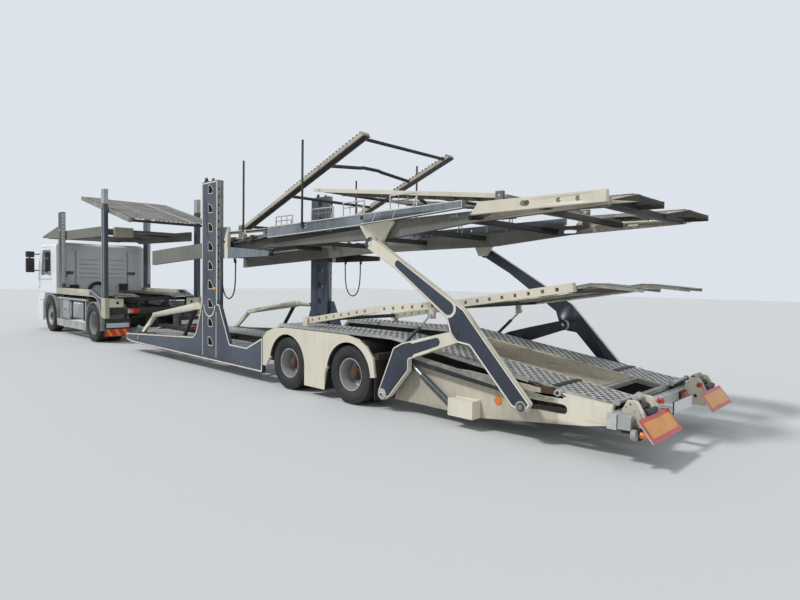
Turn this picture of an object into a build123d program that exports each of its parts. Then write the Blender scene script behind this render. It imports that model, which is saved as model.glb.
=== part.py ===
"""Car transporter truck: a two-axle low-chassis truck with a loading superstructure, hinged at a low coupling
behind its drive axle to a two-axle trailing section with a lower, a middle and an upper loading deck.

All lengths are in millimetres. X points forwards, Y to the truck's left, Z up. The origin is on the ground,
half way between the front bumper and the tail, on the centre line.
"""

from build123d import *
import math
import os

# Wheelbase and overall layout, from the front bumper back to the tail
FRONT_OVERHANG = 1400
WHEELBASE = 3550
AXLE_TO_PIVOT = 650
PIVOT_TO_TRAILER_AXLE = 7540
TRAILER_AXLE_GAP = 1360
REAR_OVERHANG = 3900
LENGTH = FRONT_OVERHANG + WHEELBASE + AXLE_TO_PIVOT + PIVOT_TO_TRAILER_AXLE + TRAILER_AXLE_GAP + REAR_OVERHANG
X_FRONT = LENGTH / 2
X_AXLE_1 = X_FRONT - FRONT_OVERHANG
X_AXLE_2 = X_AXLE_1 - WHEELBASE
X_PIVOT = X_AXLE_2 - AXLE_TO_PIVOT
X_AXLE_3 = X_PIVOT - PIVOT_TO_TRAILER_AXLE
X_AXLE_4 = X_AXLE_3 - TRAILER_AXLE_GAP
X_TAIL = X_AXLE_4 - REAR_OVERHANG
HALF_WIDTH = 1275
PLATE_FACE = HALF_WIDTH - 4

# Wheels: truck 295/60 R22.5, trailer 245/70 R17.5 in pairs
TRUCK_TYRE_R = 463
TRUCK_TYRE_W = 295
TRUCK_BEAD_R = 286
TRUCK_TWIN_PITCH = 330
TRAILER_TYRE_R = 392
TRAILER_TYRE_W = 245
TRAILER_BEAD_R = 222
TRAILER_TWIN_PITCH = 272
TYRE_SIDE_GAP = 20
SEAT_GAP = 0.3
SPINDLE_R = 45
RIM_SHEET = 14
MOVE_GAP = 10

# Steering
STEER_WHEEL_Y = HALF_WIDTH - 50 - TRUCK_TYRE_W / 2
KINGPIN_OFFSET = 227.5
KINGPIN_Y = STEER_WHEEL_Y - KINGPIN_OFFSET
KINGPIN_R = 24

# Truck frame
RAIL_Y = 400
RAIL_FLANGE = 75
RAIL_SHEET = 10
RAIL_Z0 = 620
RAIL_Z1 = 880
PIVOT_Z = 430
PIVOT_PIN_R = 25

# Loading tracks
TRACK_IN = 450
TRACK_SHEET = 45
TRUCK_DECK_Z = 1195

# Cab, with the truck's side beams flush with it
CAB_REAR = X_AXLE_1 - 600
CAB_HALF = HALF_WIDTH - 60
SIDE_BEAM_OUT = CAB_HALF
SIDE_BEAM_IN = SIDE_BEAM_OUT - 95
CAB_FLOOR_Z = 1110
CAB_NOSE_Z = 900
BUMPER_Z0 = 300
CAB_ROOF_Z = 2560
CAB_WALL = 60
CAB_NOSE_SETBACK = 55
CAB_CORNER_R = 240
ARCH_R = 612
LAMP_Y0 = 700
LAMP_Y1 = 1090
LAMP_Z0 = 640
LAMP_Z1 = 820
DOOR_REAR = X_AXLE_1 - 170
DOOR_FRONT = X_AXLE_1 + 1060
DOOR_Z0 = 1130
DOOR_Z1 = 2440
DOOR_GAP = 8
GLASS_SHEET = 6

# Trailer side frames, posts and decks (offsets from the rear trailer axle)
FRAME_SHEET = 60
FRAME_IN = HALF_WIDTH - FRAME_SHEET
POST_REAR = X_AXLE_4 + 3410
POST_FRONT = X_AXLE_4 + 3950
POST_IN = HALF_WIDTH - 120
POST_TOP = 3310
POST_FOOT_Z = 200
TOP_HOLE_Z = POST_TOP - 130
HOLE_SIZE = 150
HOLE_PITCH = 331
HOLE_COUNT = 9
LOW_DECK_Z = 450
HIGH_DECK_Z = 930
TAIL_DECK_Z = 520

# Lift linkage on each side of the trailer (offsets from the rear trailer axle, and heights)
LINK_FOOT = (X_AXLE_4 - 580, 220)
LINK_BOSS = (X_AXLE_4 - 1780, 1050)
ARM_FOOT = (X_AXLE_4 - 2610, 400)
ARM_TOP = (X_AXLE_4 - 390, 2100)
RAM_BASE = (X_AXLE_4 - 1640, 200)
RAM_EYE = (X_AXLE_4 - 955, 640)
MIDDLE_RAM_BASE = (X_AXLE_4 - 800, 870)
MIDDLE_RAM_EYE = (X_AXLE_4 - 1180, 1225)
GUARD_IN = HALF_WIDTH - 40
ARM_Y1 = PLATE_FACE
ARM_Y0 = HALF_WIDTH - 60
LINK_Y1 = ARM_Y0 - MOVE_GAP
LINK_Y0 = LINK_Y1 - 60
RAM_R = 38
RAM_Y = LINK_Y0 - MOVE_GAP + 1 - RAM_R
BEAM_Y1 = RAM_Y - RAM_R - 8
BEAM_Y0 = BEAM_Y1 - 52
MIDDLE_RAM_R = 22
MIDDLE_RAM_Y = BEAM_Y0 + 18
TRACK_OUT = BEAM_Y0 - MOVE_GAP
SLOT_HALF = 50
PIN_R = 28
RAM_PIN_R = 20
MIDDLE_RAM_PIN_R = 12

# Upper deck
DECK_PIVOT = (X_AXLE_4 + 3280, 2250)
FRONT_DECK_LINE = [(X_AXLE_4 + 6300, 2200), (X_AXLE_4 + 3300, 2330)]
FRONT_DECK_SLOPE = math.atan2(130, 3000)
REAR_DECK_Z = 2470
DECK_SHEET = 40
UPPER_BEAM_OUT = LINK_Y1
UPPER_BEAM_IN = UPPER_BEAM_OUT - 65
INNER_BEAM_IN = TRACK_OUT + 50
INNER_BEAM_OUT = INNER_BEAM_IN + 70
EAR_IN = TRACK_OUT + 12
EAR_OUT = INNER_BEAM_IN + 10
HOOP_WIRE_R = 9
HOOP_Y = INNER_BEAM_IN + 20
TILT_PIVOT = (X_AXLE_4 + 3050, 2495)
TILT_ANGLE = 20.5
TILT_LENGTH = 3160
FLAP_PIVOT = (X_AXLE_4 - 2150, 2575)
FLAP_ANGLE = 6.5
FLAP_LENGTH = 3280
MIDDLE_PIVOT = (X_AXLE_4 + 1300, 1035)
MIDDLE_OUT = TRACK_OUT - 35
MIDDLE_RAIL_W = 75
EAR_PIN_R = 16

# Hoses that hang beside the posts, as routes of X and Z from gland to gland
HOSE_R = 11
HOSE_Y = POST_IN - 23
GLAND_R = 17
HOSE_LEFT = [(X_AXLE_4 + x, z) for x, z in (
    (3474, 2430), (3474, 2190), (3486, 1945), (3494, 1700), (3468, 1470), (3390, 1325), (3265, 1272),
    (3142, 1318), (3066, 1445), (3046, 1668), (3046, 1889))]
HOSE_RIGHT = [(X_AXLE_4 + x, z) for x, z in (
    (2838, 1930), (2838, 1745), (2822, 1560), (2766, 1405), (2672, 1325), (2565, 1322), (2470, 1396),
    (2418, 1555), (2403, 1738), (2403, 1922))]

# Truck upper decks
RAMP_PIVOT = (X_AXLE_2 - 620, 3220)
RAMP_ANGLE = 13.6
RAMP_PIN_R = 20
CAB_DECK_Z0 = 2640
CAB_DECK_Z1 = 2850


def block(x0, x1, y0, y1, z0, z1):
    """A box between two corners."""
    return Pos((x0 + x1) / 2, (y0 + y1) / 2, (z0 + z1) / 2) * Box(abs(x1 - x0), abs(y1 - y0), abs(z1 - z0))


def side_plate(points, y0, y1, radius=0):
    """A plate whose outline is given in X and Z, between two values of Y."""
    face = make_face(Polyline(*[(x, z) for x, z in points], close=True))
    if radius:
        face = fillet(face.vertices(), radius)
    lower, upper = min(y0, y1), max(y0, y1)
    return Pos(0, upper, 0) * extrude(Plane.XZ * face, amount=upper - lower)


def plan_plate(points, z0, z1, radius=0):
    """A plate whose outline is given in X and Y, between two heights."""
    face = make_face(Polyline(*points, close=True))
    if radius:
        face = fillet(face.vertices(), radius)
    return Pos(0, 0, z0) * extrude(face, amount=z1 - z0)


def front_plate(points, x0, x1, radius=0):
    """A plate whose outline is given in Y and Z, between two values of X."""
    face = make_face(Polyline(*points, close=True))
    if radius:
        face = fillet(face.vertices(), radius)
    return Pos(x0, 0, 0) * extrude(Plane.YZ * face, amount=x1 - x0)


def cross_rod(x, z, radius, y0, y1):
    """A round bar along Y."""
    return Pos(x, (y0 + y1) / 2, z) * Rot(90, 0, 0) * Cylinder(radius, abs(y1 - y0))


def upright(x, y, radius, z0, z1):
    """A round bar along Z."""
    return Pos(x, y, (z0 + z1) / 2) * Cylinder(radius, z1 - z0)


def bar(start, end, radius):
    """A round bar between two points."""
    a, b = Vector(*start), Vector(*end)
    plane = Plane(origin=(a + b) / 2, z_dir=(b - a))
    return plane * Cylinder(radius, (b - a).length)


def both_sides(shape):
    """The shape and its mirror image on the truck's other side."""
    return [shape, mirror(shape, about=Plane.XZ)]


def joined(*shapes):
    """One shape fused from several."""
    result = shapes[0]
    for shape in shapes[1:]:
        result = result + shape
    return result


def turned(shape, pivot, degrees):
    """The shape turned about a line along Y through pivot, given as X and Z. Positive lifts its rear end."""
    x, z = pivot
    return Pos(x, 0, z) * Rot(0, degrees, 0) * Pos(-x, 0, -z) * shape


def offset_path(points, thickness):
    """The closed outline of a strip of even thickness below a line of X and Z points, mitred at its bends."""
    lower = []
    for i, (x, z) in enumerate(points):
        normals = []
        if i > 0:
            normals.append((x - points[i - 1][0], z - points[i - 1][1]))
        if i < len(points) - 1:
            normals.append((points[i + 1][0] - x, points[i + 1][1] - z))
        units = [(dz / math.hypot(dx, dz), -dx / math.hypot(dx, dz)) for dx, dz in normals]
        nx, nz = sum(u[0] for u in units), sum(u[1] for u in units)
        size = math.hypot(nx, nz)
        nx, nz = nx / size, nz / size
        share = nx * units[0][0] + nz * units[0][1]
        side = -1 if nz > 0 else 1
        lower.append((x + side * nx * thickness / share, z + side * nz * thickness / share))
    return points + lower[::-1]


def track(points, y0, y1, thickness=TRACK_SHEET, slot_pitch=0, slot_long=120, slot_wide=300):
    """A wheel track that follows a line of X and Z points, with a row of slots across each straight run."""
    body = side_plate(offset_path(points, thickness), y0, y1)
    if slot_pitch:
        slots = []
        for (xa, za), (xb, zb) in zip(points, points[1:]):
            run = math.hypot(xb - xa, zb - za)
            count = int((run - slot_pitch / 2) // slot_pitch)
            slope = math.degrees(math.atan2(zb - za, xb - xa))
            for i in range(count):
                along = run / 2 + (i - (count - 1) / 2) * slot_pitch
                x, z = xa + (xb - xa) * along / run, za + (zb - za) * along / run
                cutter = Box(slot_long, slot_wide, 4 * thickness)
                slots.append(Pos(x, (y0 + y1) / 2, z) * Rot(0, -slope, 0) * cutter)
        if slots:
            body = body - slots
    return body


def save(name, *shapes):
    """Writes the solids of one node to its file."""
    solids = [solid for shape in shapes for solid in (shape if isinstance(shape, (list, tuple)) else [shape])]
    solids = [s for shape in solids for s in shape.solids()]
    export_step(Compound(children=[Solid(s.wrapped) for s in solids]) if len(solids) > 1 else solids[0],
                f"parts/{name}.step")


os.makedirs("parts", exist_ok=True)


# Wheels
def tyre(radius, bead, width, x, y):
    """A tyre with rounded sidewalls and shoulders, standing on the ground."""
    wall = radius - bead
    half = width / 2
    outline = [
        Line((-0.36 * width, bead), (0.36 * width, bead)),
        ThreePointArc((0.36 * width, bead), (half, bead + 0.45 * wall), (0.44 * width, radius - 0.16 * wall)),
        ThreePointArc((0.44 * width, radius - 0.16 * wall), (0.425 * width, radius - 0.05 * wall),
                      (0.38 * width, radius)),
        Line((0.38 * width, radius), (-0.38 * width, radius)),
        ThreePointArc((-0.38 * width, radius), (-0.425 * width, radius - 0.05 * wall),
                      (-0.44 * width, radius - 0.16 * wall)),
        ThreePointArc((-0.44 * width, radius - 0.16 * wall), (-half, bead + 0.45 * wall),
                      (-0.36 * width, bead)),
    ]
    section = Plane.YZ * make_face(Wire(outline))
    return Pos(x, y, radius) * revolve(section, Axis.Y)


def rim(bead, x, z, y_out, y_in, y_disc, hub_r, hub_y0, hub_y1, hand_holes=10):
    """A steel wheel: a barrel, a pierced disc and a hub with a bore for the spindle, on an axis along Y."""
    outer = bead - SEAT_GAP
    lip = 22
    left, right = min(y_out, y_in), max(y_out, y_in)
    barrel = cross_rod(0, 0, outer, left, right) - cross_rod(0, 0, outer - RIM_SHEET, left - 1, right + 1)
    lips = [
        cross_rod(0, 0, outer, y, y + 12 * s) - cross_rod(0, 0, outer - lip, y - 1, y + 12 * s + s)
        for y, s in ((left, 1), (right, -1))
    ]
    disc = cross_rod(0, 0, outer - RIM_SHEET / 2, y_disc - RIM_SHEET / 2, y_disc + RIM_SHEET / 2)
    ring = (outer + hub_r) / 2
    holes = [
        Rot(0, i * 360 / hand_holes, 0) * cross_rod(ring + 8, 0, 26, y_disc - 60, y_disc + 60)
        for i in range(hand_holes)
    ]
    hub = cross_rod(0, 0, hub_r, hub_y0, hub_y1)
    bore = cross_rod(0, 0, SPINDLE_R + SEAT_GAP, hub_y0 - 1, hub_y0 + 0.7 * (hub_y1 - hub_y0))
    return Pos(x, 0, z) * (joined(barrel, *lips, disc) - holes + hub - bore)


def twin_wheel(name, x, radius, bead, width, pitch, y_outer):
    """Twin tyres on one pair of rims, left and right, each side its own two nodes."""
    outer_y = y_outer - width / 2
    inner_y = outer_y - pitch
    middle = (outer_y + inner_y) / 2
    for side, s in (("left", 1), ("right", -1)):
        tyres = [tyre(radius, bead, width, x, s * y) for y in (outer_y, inner_y)]
        wheel = rim(bead, x, radius, outer_y + 0.37 * width, inner_y - 0.37 * width, middle,
                    0.42 * bead, inner_y - 0.30 * width, middle + 0.75 * width)
        wheel = wheel if s > 0 else mirror(wheel, about=Plane.XZ)
        save(f"{name}_tyres_{side}", *tyres)
        save(f"{name}_rims_{side}", wheel)


def front_wheels():
    """Single steered wheels with dished-out discs."""
    half = 0.37 * TRUCK_TYRE_W
    for side, s in (("left", 1), ("right", -1)):
        wheel = rim(TRUCK_BEAD_R, X_AXLE_1, TRUCK_TYRE_R, STEER_WHEEL_Y + half, STEER_WHEEL_Y - half,
                    STEER_WHEEL_Y + 60, 110, STEER_WHEEL_Y - 60, STEER_WHEEL_Y + 118)
        wheel = wheel if s > 0 else mirror(wheel, about=Plane.XZ)
        save(f"steer_tyre_{side}", tyre(TRUCK_TYRE_R, TRUCK_BEAD_R, TRUCK_TYRE_W, X_AXLE_1,
                                        s * STEER_WHEEL_Y))
        save(f"steer_rim_{side}", wheel)


front_wheels()
TRUCK_TWIN_OUT = HALF_WIDTH - TYRE_SIDE_GAP
twin_wheel("drive", X_AXLE_2, TRUCK_TYRE_R, TRUCK_BEAD_R, TRUCK_TYRE_W, TRUCK_TWIN_PITCH, TRUCK_TWIN_OUT)
for number, axle_x in ((3, X_AXLE_3), (4, X_AXLE_4)):
    twin_wheel(f"axle{number}", axle_x, TRAILER_TYRE_R, TRAILER_BEAD_R, TRAILER_TYRE_W, TRAILER_TWIN_PITCH,
               HALF_WIDTH - TYRE_SIDE_GAP)


def spindle_reach(y_outer, width, pitch):
    """Where a twin wheel's hub starts, and how far its spindle reaches into it."""
    outer_y = y_outer - width / 2
    inner_y = outer_y - pitch
    hub_y0 = inner_y - 0.30 * width
    hub_y1 = (outer_y + inner_y) / 2 + 0.75 * width
    return hub_y0, hub_y0 + 0.65 * (hub_y1 - hub_y0)


def axle(x, z, tube_r, y_outer, width, pitch):
    """A dead axle tube with a brake drum flange and a spindle into the hub at each end."""
    hub_y0, tip = spindle_reach(y_outer, width, pitch)
    tube = cross_rod(x, z, tube_r, -hub_y0 + MOVE_GAP, hub_y0 - MOVE_GAP)
    ends = both_sides(cross_rod(x, z, SPINDLE_R, hub_y0 - 60, tip))
    return joined(tube, *ends)


# Steering knuckles and truck axles
def knuckle():
    """A kingpin post with a spindle and a steering arm, on the left."""
    z = TRUCK_TYRE_R
    post = upright(X_AXLE_1, KINGPIN_Y, 55, z - 110, z + 110)
    stub = cross_rod(X_AXLE_1, z, SPINDLE_R, KINGPIN_Y, STEER_WHEEL_Y + 35)
    shoulder = cross_rod(X_AXLE_1, z, 80, KINGPIN_Y + 40, STEER_WHEEL_Y - 72)
    arm = block(X_AXLE_1 - 210, X_AXLE_1, KINGPIN_Y - 35, KINGPIN_Y + 5, z - 100, z - 70)
    yoke_gap = block(X_AXLE_1 - 70, X_AXLE_1 + 70, KINGPIN_Y - 90, KINGPIN_Y + 38, z - 62, z + 62)
    bore = upright(X_AXLE_1, KINGPIN_Y, KINGPIN_R + SEAT_GAP, z - 120, z + 120)
    return joined(post - yoke_gap, block(X_AXLE_1 - 45, X_AXLE_1 + 45, KINGPIN_Y + 38, KINGPIN_Y + 75,
                                         z - 110, z + 110),
                  shoulder, stub - yoke_gap, arm) - bore


for side, shape in zip(("left", "right"), both_sides(knuckle())):
    save(f"knuckle_{side}", shape)

steer_beam = joined(
    block(X_AXLE_1 - 50, X_AXLE_1 + 50, -KINGPIN_Y + 60, KINGPIN_Y - 60, TRUCK_TYRE_R - 50,
          TRUCK_TYRE_R + 50),
    *both_sides(upright(X_AXLE_1, KINGPIN_Y, 36, TRUCK_TYRE_R - 55, TRUCK_TYRE_R + 55)),
    *both_sides(block(X_AXLE_1 - 30, X_AXLE_1 + 30, KINGPIN_Y - 70, KINGPIN_Y, TRUCK_TYRE_R - 50,
                      TRUCK_TYRE_R + 50)),
    *both_sides(upright(X_AXLE_1, KINGPIN_Y, KINGPIN_R, TRUCK_TYRE_R - 108, TRUCK_TYRE_R + 108)),
    *both_sides(block(X_AXLE_1 - 40, X_AXLE_1 + 40, RAIL_Y - RAIL_FLANGE, RAIL_Y, TRUCK_TYRE_R + 50,
                      RAIL_Z0)),
)
drive_axle = joined(
    axle(X_AXLE_2, TRUCK_TYRE_R, 75, TRUCK_TWIN_OUT, TRUCK_TYRE_W, TRUCK_TWIN_PITCH),
    Pos(X_AXLE_2, 0, TRUCK_TYRE_R) * Sphere(150),
    *both_sides(block(X_AXLE_2 - 60, X_AXLE_2 + 60, RAIL_Y - RAIL_FLANGE, RAIL_Y, TRUCK_TYRE_R + 40,
                      RAIL_Z0)),
)
save("truck_axles", steer_beam, drive_axle)


# Truck frame with the coupling at its rear end
def truck_frame():
    """Two channel rails, cross tubes, deck outriggers and the coupling jaw."""
    rear, front = X_AXLE_2 - 690, X_FRONT - 260
    rail = front_plate([(RAIL_Y, RAIL_Z0), (RAIL_Y, RAIL_Z1), (RAIL_Y - RAIL_FLANGE, RAIL_Z1),
                        (RAIL_Y - RAIL_FLANGE, RAIL_Z1 - RAIL_SHEET), (RAIL_Y - RAIL_SHEET,
                                                                       RAIL_Z1 - RAIL_SHEET),
                        (RAIL_Y - RAIL_SHEET, RAIL_Z0 + RAIL_SHEET), (RAIL_Y - RAIL_FLANGE,
                                                                      RAIL_Z0 + RAIL_SHEET),
                        (RAIL_Y - RAIL_FLANGE, RAIL_Z0)], rear, front)
    crossings = [cross_rod(x, (RAIL_Z0 + RAIL_Z1) / 2, 50, -RAIL_Y + 5, RAIL_Y - 5)
                 for x in (X_PIVOT + 120, X_AXLE_2 + 650, X_AXLE_1 - 900)]
    front_beam = block(front - 90, front, -RAIL_Y, RAIL_Y, RAIL_Z0, RAIL_Z1)
    outriggers = [joined(block(x - 40, x + 40, -SIDE_BEAM_IN, SIDE_BEAM_IN, 1030, 1110),
                         *both_sides(block(x - 40, x + 40, RAIL_Y - RAIL_FLANGE, RAIL_Y, RAIL_Z1, 1030)))
                  for x in (X_AXLE_2 - 560, X_AXLE_2 + 700, X_AXLE_1 - 1400, X_AXLE_1 - 880)]
    jaw_back = block(X_PIVOT + 120, X_PIVOT + 210, -160, 160, PIVOT_Z - 100, RAIL_Z1 - 60)
    jaw_tie = block(X_PIVOT + 120, X_PIVOT + 210, -RAIL_Y + 5, RAIL_Y - 5, RAIL_Z0 + RAIL_SHEET,
                    RAIL_Z0 + 120)
    plates = [joined(block(X_PIVOT, X_PIVOT + 150, -90, 90, z, z + 24), upright(X_PIVOT, 0, 90, z, z + 24))
              for z in (PIVOT_Z - 64, PIVOT_Z + 40)]
    pin = upright(X_PIVOT, 0, PIVOT_PIN_R, PIVOT_Z - 80, PIVOT_Z + 80)
    return joined(*both_sides(rail), *crossings, front_beam, *outriggers, jaw_back, jaw_tie, *plates, pin)


save("truck_frame", truck_frame())
save("engine_block", block(X_AXLE_1 - 560, X_AXLE_1 + 480, -RAIL_Y + RAIL_FLANGE, RAIL_Y - RAIL_FLANGE,
                           RAIL_Z0 - 40, CAB_FLOOR_Z - 20))

# Cab
CAB_PROFILE = [
    (CAB_REAR, CAB_FLOOR_Z), (CAB_REAR, CAB_ROOF_Z - 70), (CAB_REAR + 80, CAB_ROOF_Z), (X_FRONT - 640,
                                                                                        CAB_ROOF_Z),
    (X_FRONT - 500, CAB_ROOF_Z - 50), (X_FRONT - 170, 1560), (X_FRONT - 75,
                                                              1380), (X_FRONT - CAB_NOSE_SETBACK, CAB_NOSE_Z),
    (X_AXLE_1 + 590, CAB_NOSE_Z), (X_AXLE_1 + 500, CAB_FLOOR_Z),
]


def cab_volume(inset):
    """The cab's outer form, or its hollow when inset is the wall: side, plan and front outlines crossed."""
    outline = make_face(Polyline(*CAB_PROFILE, close=True))
    if inset:
        outline = offset(outline, amount=-inset, kind=Kind.INTERSECTION)
    side = Pos(0, CAB_HALF - inset, 0) * extrude(Plane.XZ * outline, amount=2 * (CAB_HALF - inset))
    half = CAB_HALF - inset
    rear, front = CAB_REAR - 100, X_FRONT - CAB_NOSE_SETBACK - inset
    plan = Pos((rear + front) / 2, 0, 0) * Rectangle(front - rear, 2 * half)
    plan = fillet(plan.vertices().group_by(Axis.X)[-1], CAB_CORNER_R - inset)
    column = Pos(0, 0, CAB_NOSE_Z - 100) * extrude(plan, amount=CAB_ROOF_Z)
    tall = Rectangle(2 * half, CAB_ROOF_Z - inset - 600)
    tall = Pos(0, (CAB_ROOF_Z - inset + 600) / 2, 0) * tall
    tall = fillet(tall.vertices().group_by(Axis.Y)[-1], 120 - inset)
    tunnel = Pos(CAB_REAR - 300, 0, 0) * extrude(Plane.YZ * tall, amount=3000)
    return side & column & tunnel


DOOR_OUTLINE = [
    (DOOR_REAR, DOOR_Z0), (DOOR_REAR, DOOR_Z1), (X_FRONT - 620, DOOR_Z1), (DOOR_FRONT - 60, 1720),
    (DOOR_FRONT, 1540), (DOOR_FRONT, DOOR_Z0),
]
DOOR_WINDOW = [
    (DOOR_REAR + 90, 1640), (DOOR_REAR + 90, DOOR_Z1 - 80), (X_FRONT - 690,
                                                             DOOR_Z1 - 80), (DOOR_FRONT - 170, 1760),
    (DOOR_FRONT - 190, 1600), (DOOR_FRONT - 560, 1640),
]
WINDSCREEN_HALF = 940
WINDSCREEN_Z0 = 1640
WINDSCREEN_Z1 = 2440

cab_shell = cab_volume(0) - cab_volume(CAB_WALL)
door_zone = side_plate(DOOR_OUTLINE, CAB_HALF - CAB_WALL - 5, CAB_HALF + 50)
door_hole = side_plate(
    [(x + dx, z + dz) for (x, z), (dx, dz) in zip(DOOR_OUTLINE, (
        (-DOOR_GAP, -DOOR_GAP), (-DOOR_GAP, DOOR_GAP), (DOOR_GAP, DOOR_GAP), (DOOR_GAP, DOOR_GAP),
        (DOOR_GAP, DOOR_GAP), (DOOR_GAP, -DOOR_GAP)))],
    CAB_HALF - CAB_WALL - 200, CAB_HALF + 100)
window_zone = side_plate(DOOR_WINDOW, CAB_HALF - CAB_WALL - 100, CAB_HALF + 100, radius=45)
windscreen_zone = front_plate(
    [(-WINDSCREEN_HALF, WINDSCREEN_Z0), (WINDSCREEN_HALF, WINDSCREEN_Z0), (WINDSCREEN_HALF, WINDSCREEN_Z1),
     (-WINDSCREEN_HALF, WINDSCREEN_Z1)], X_FRONT - 900, X_FRONT + 100, radius=70)
door = (cab_shell & door_zone) - window_zone
glass_y = CAB_HALF - CAB_WALL / 2
door_glass = window_zone & block(CAB_REAR, X_FRONT, glass_y - GLASS_SHEET, glass_y, 1500, CAB_ROOF_Z)
sloped = [CAB_PROFILE[4], CAB_PROFILE[5]]
sill_dx, sill_dz = sloped[1][0] - sloped[0][0], sloped[1][1] - sloped[0][1]
sill_run = math.hypot(sill_dx, sill_dz)
inward = (sill_dz / sill_run, -sill_dx / sill_run)
glass_band = side_plate(
    [(sloped[0][0] + inward[0] * 28, sloped[0][1] + inward[1] * 28),
     (sloped[1][0] + inward[0] * 28, sloped[1][1] + inward[1] * 28),
     (sloped[1][0] + inward[0] * (28 + GLASS_SHEET), sloped[1][1] + inward[1] * (28 + GLASS_SHEET)),
     (sloped[0][0] + inward[0] * (28 + GLASS_SHEET), sloped[0][1] + inward[1] * (28 + GLASS_SHEET))],
    -WINDSCREEN_HALF - 50, WINDSCREEN_HALF + 50)
windscreen = windscreen_zone & glass_band
cab_shell = cab_shell - both_sides(door_hole) - windscreen_zone
wheel_well = both_sides(cross_rod(X_AXLE_1, TRUCK_TYRE_R, ARCH_R, 560, HALF_WIDTH + 60))
cab_shell = cab_shell - wheel_well
save("windscreen", windscreen)
HINGE_X = DOOR_FRONT + DOOR_GAP / 2
HINGE_Y = CAB_HALF + 14
HINGE_PIN_R = 8
HINGE_R = 14
for hinge_z in (1240, 1500):
    fixed_lug = joined(block(HINGE_X + DOOR_GAP / 2, HINGE_X + 40, CAB_HALF - 1, CAB_HALF + 22, hinge_z,
                             hinge_z + 30),
                       upright(HINGE_X, HINGE_Y, HINGE_R, hinge_z, hinge_z + 30),
                       upright(HINGE_X, HINGE_Y, HINGE_PIN_R, hinge_z, hinge_z + 66))
    swing_lug = joined(block(HINGE_X - 40, HINGE_X - DOOR_GAP / 2, CAB_HALF - 1, CAB_HALF + 22,
                             hinge_z + 32, hinge_z + 62),
                       upright(HINGE_X, HINGE_Y, HINGE_R, hinge_z + 32, hinge_z + 62))
    cab_shell = joined(cab_shell, *both_sides(fixed_lug))
    door = joined(door, swing_lug) - upright(HINGE_X, HINGE_Y, HINGE_PIN_R + SEAT_GAP, hinge_z + 30,
                                             hinge_z + 70)
save("cab_shell", cab_shell)
for side, panel, pane in zip(("left", "right"), both_sides(door), both_sides(door_glass)):
    save(f"door_{side}", panel)
    save(f"door_glass_{side}", pane)


def seat(y):
    """A driver's seat: a base box, a cushion and a raked back with a headrest."""
    x = X_AXLE_1 - 60
    floor = CAB_FLOOR_Z + CAB_WALL
    base = block(x - 200, x + 200, y - 200, y + 200, floor, floor + 260)
    cushion = fillet(block(x - 250, x + 260, y - 250, y + 250, floor + 260, floor + 390).edges(), 40)
    back = fillet(block(x - 330, x - 190, y - 240, y + 240, floor + 391, floor + 980).edges(), 45)
    head = fillet(block(x - 320, x - 215, y - 130, y + 130, floor + 981, floor + 1160).edges(), 35)
    return joined(base, cushion, back, head, block(x - 300, x - 215, y - 60, y + 60, floor + 380,
                                                   floor + 990))


dash_floor = CAB_NOSE_Z + CAB_WALL + SEAT_GAP
dash = side_plate([(X_FRONT - 480, dash_floor), (X_FRONT - 560, 1250), (X_FRONT - 480, 1500),
                   (X_FRONT - 420, 1570),
                   (X_FRONT - 260, 1570), (X_FRONT - 190, 1440), (X_FRONT - 150, 1370), (X_FRONT - 150,
                                                                                         dash_floor)],
                  -900, 900)
wheel_centre = (X_FRONT - 740, 620, 1640)
steering_plane = Plane(origin=wheel_centre, z_dir=(-0.55, 0, 0.84))
spokes = [steering_plane * Rot(0, 0, a) * Pos(120, 0, 0) * Box(220, 26, 14) for a in (90, 210, 330)]
steering_wheel = joined(steering_plane * Torus(225, 16), steering_plane * Cylinder(60, 30), *spokes,
                        bar(wheel_centre, (X_FRONT - 460, 620, 1300), 40))
save("cab_interior", *[seat(y) for y in (620, -620)], joined(dash, steering_wheel))


# Front bumper with lamps, grille and mirrors
def bumper():
    """A wrapped bumper with a centre opening, lamp pockets and a low lip."""
    def outline(inset, reach):
        face = Rectangle(reach, 2 * (CAB_HALF + 20 - inset))
        face = Pos(X_FRONT - inset - reach / 2, 0, 0) * face
        return fillet(face.vertices().group_by(Axis.X)[-1], 280 - inset)
    reach = FRONT_OVERHANG - ARCH_R - 8
    height = CAB_NOSE_Z - MOVE_GAP - BUMPER_Z0
    shell = Pos(0, 0, BUMPER_Z0) * extrude(outline(0, reach), amount=height)
    hollow = Pos(0, 0, BUMPER_Z0 - 10) * extrude(outline(CAB_WALL, reach), amount=height + 20)
    mouth = front_plate([(-520, 390), (520, 390), (480, 560), (-480, 560)], X_FRONT - 200, X_FRONT + 10,
                        radius=30)
    pockets = both_sides(block(X_FRONT - 400, X_FRONT + 10, LAMP_Y0, LAMP_Y1, LAMP_Z0, LAMP_Z1))
    tie = block(X_FRONT - 260, X_FRONT - CAB_WALL, -RAIL_Y, RAIL_Y, RAIL_Z0, RAIL_Z0 + 90)
    return joined(shell - hollow - mouth - pockets, tie) - wheel_well


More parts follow.
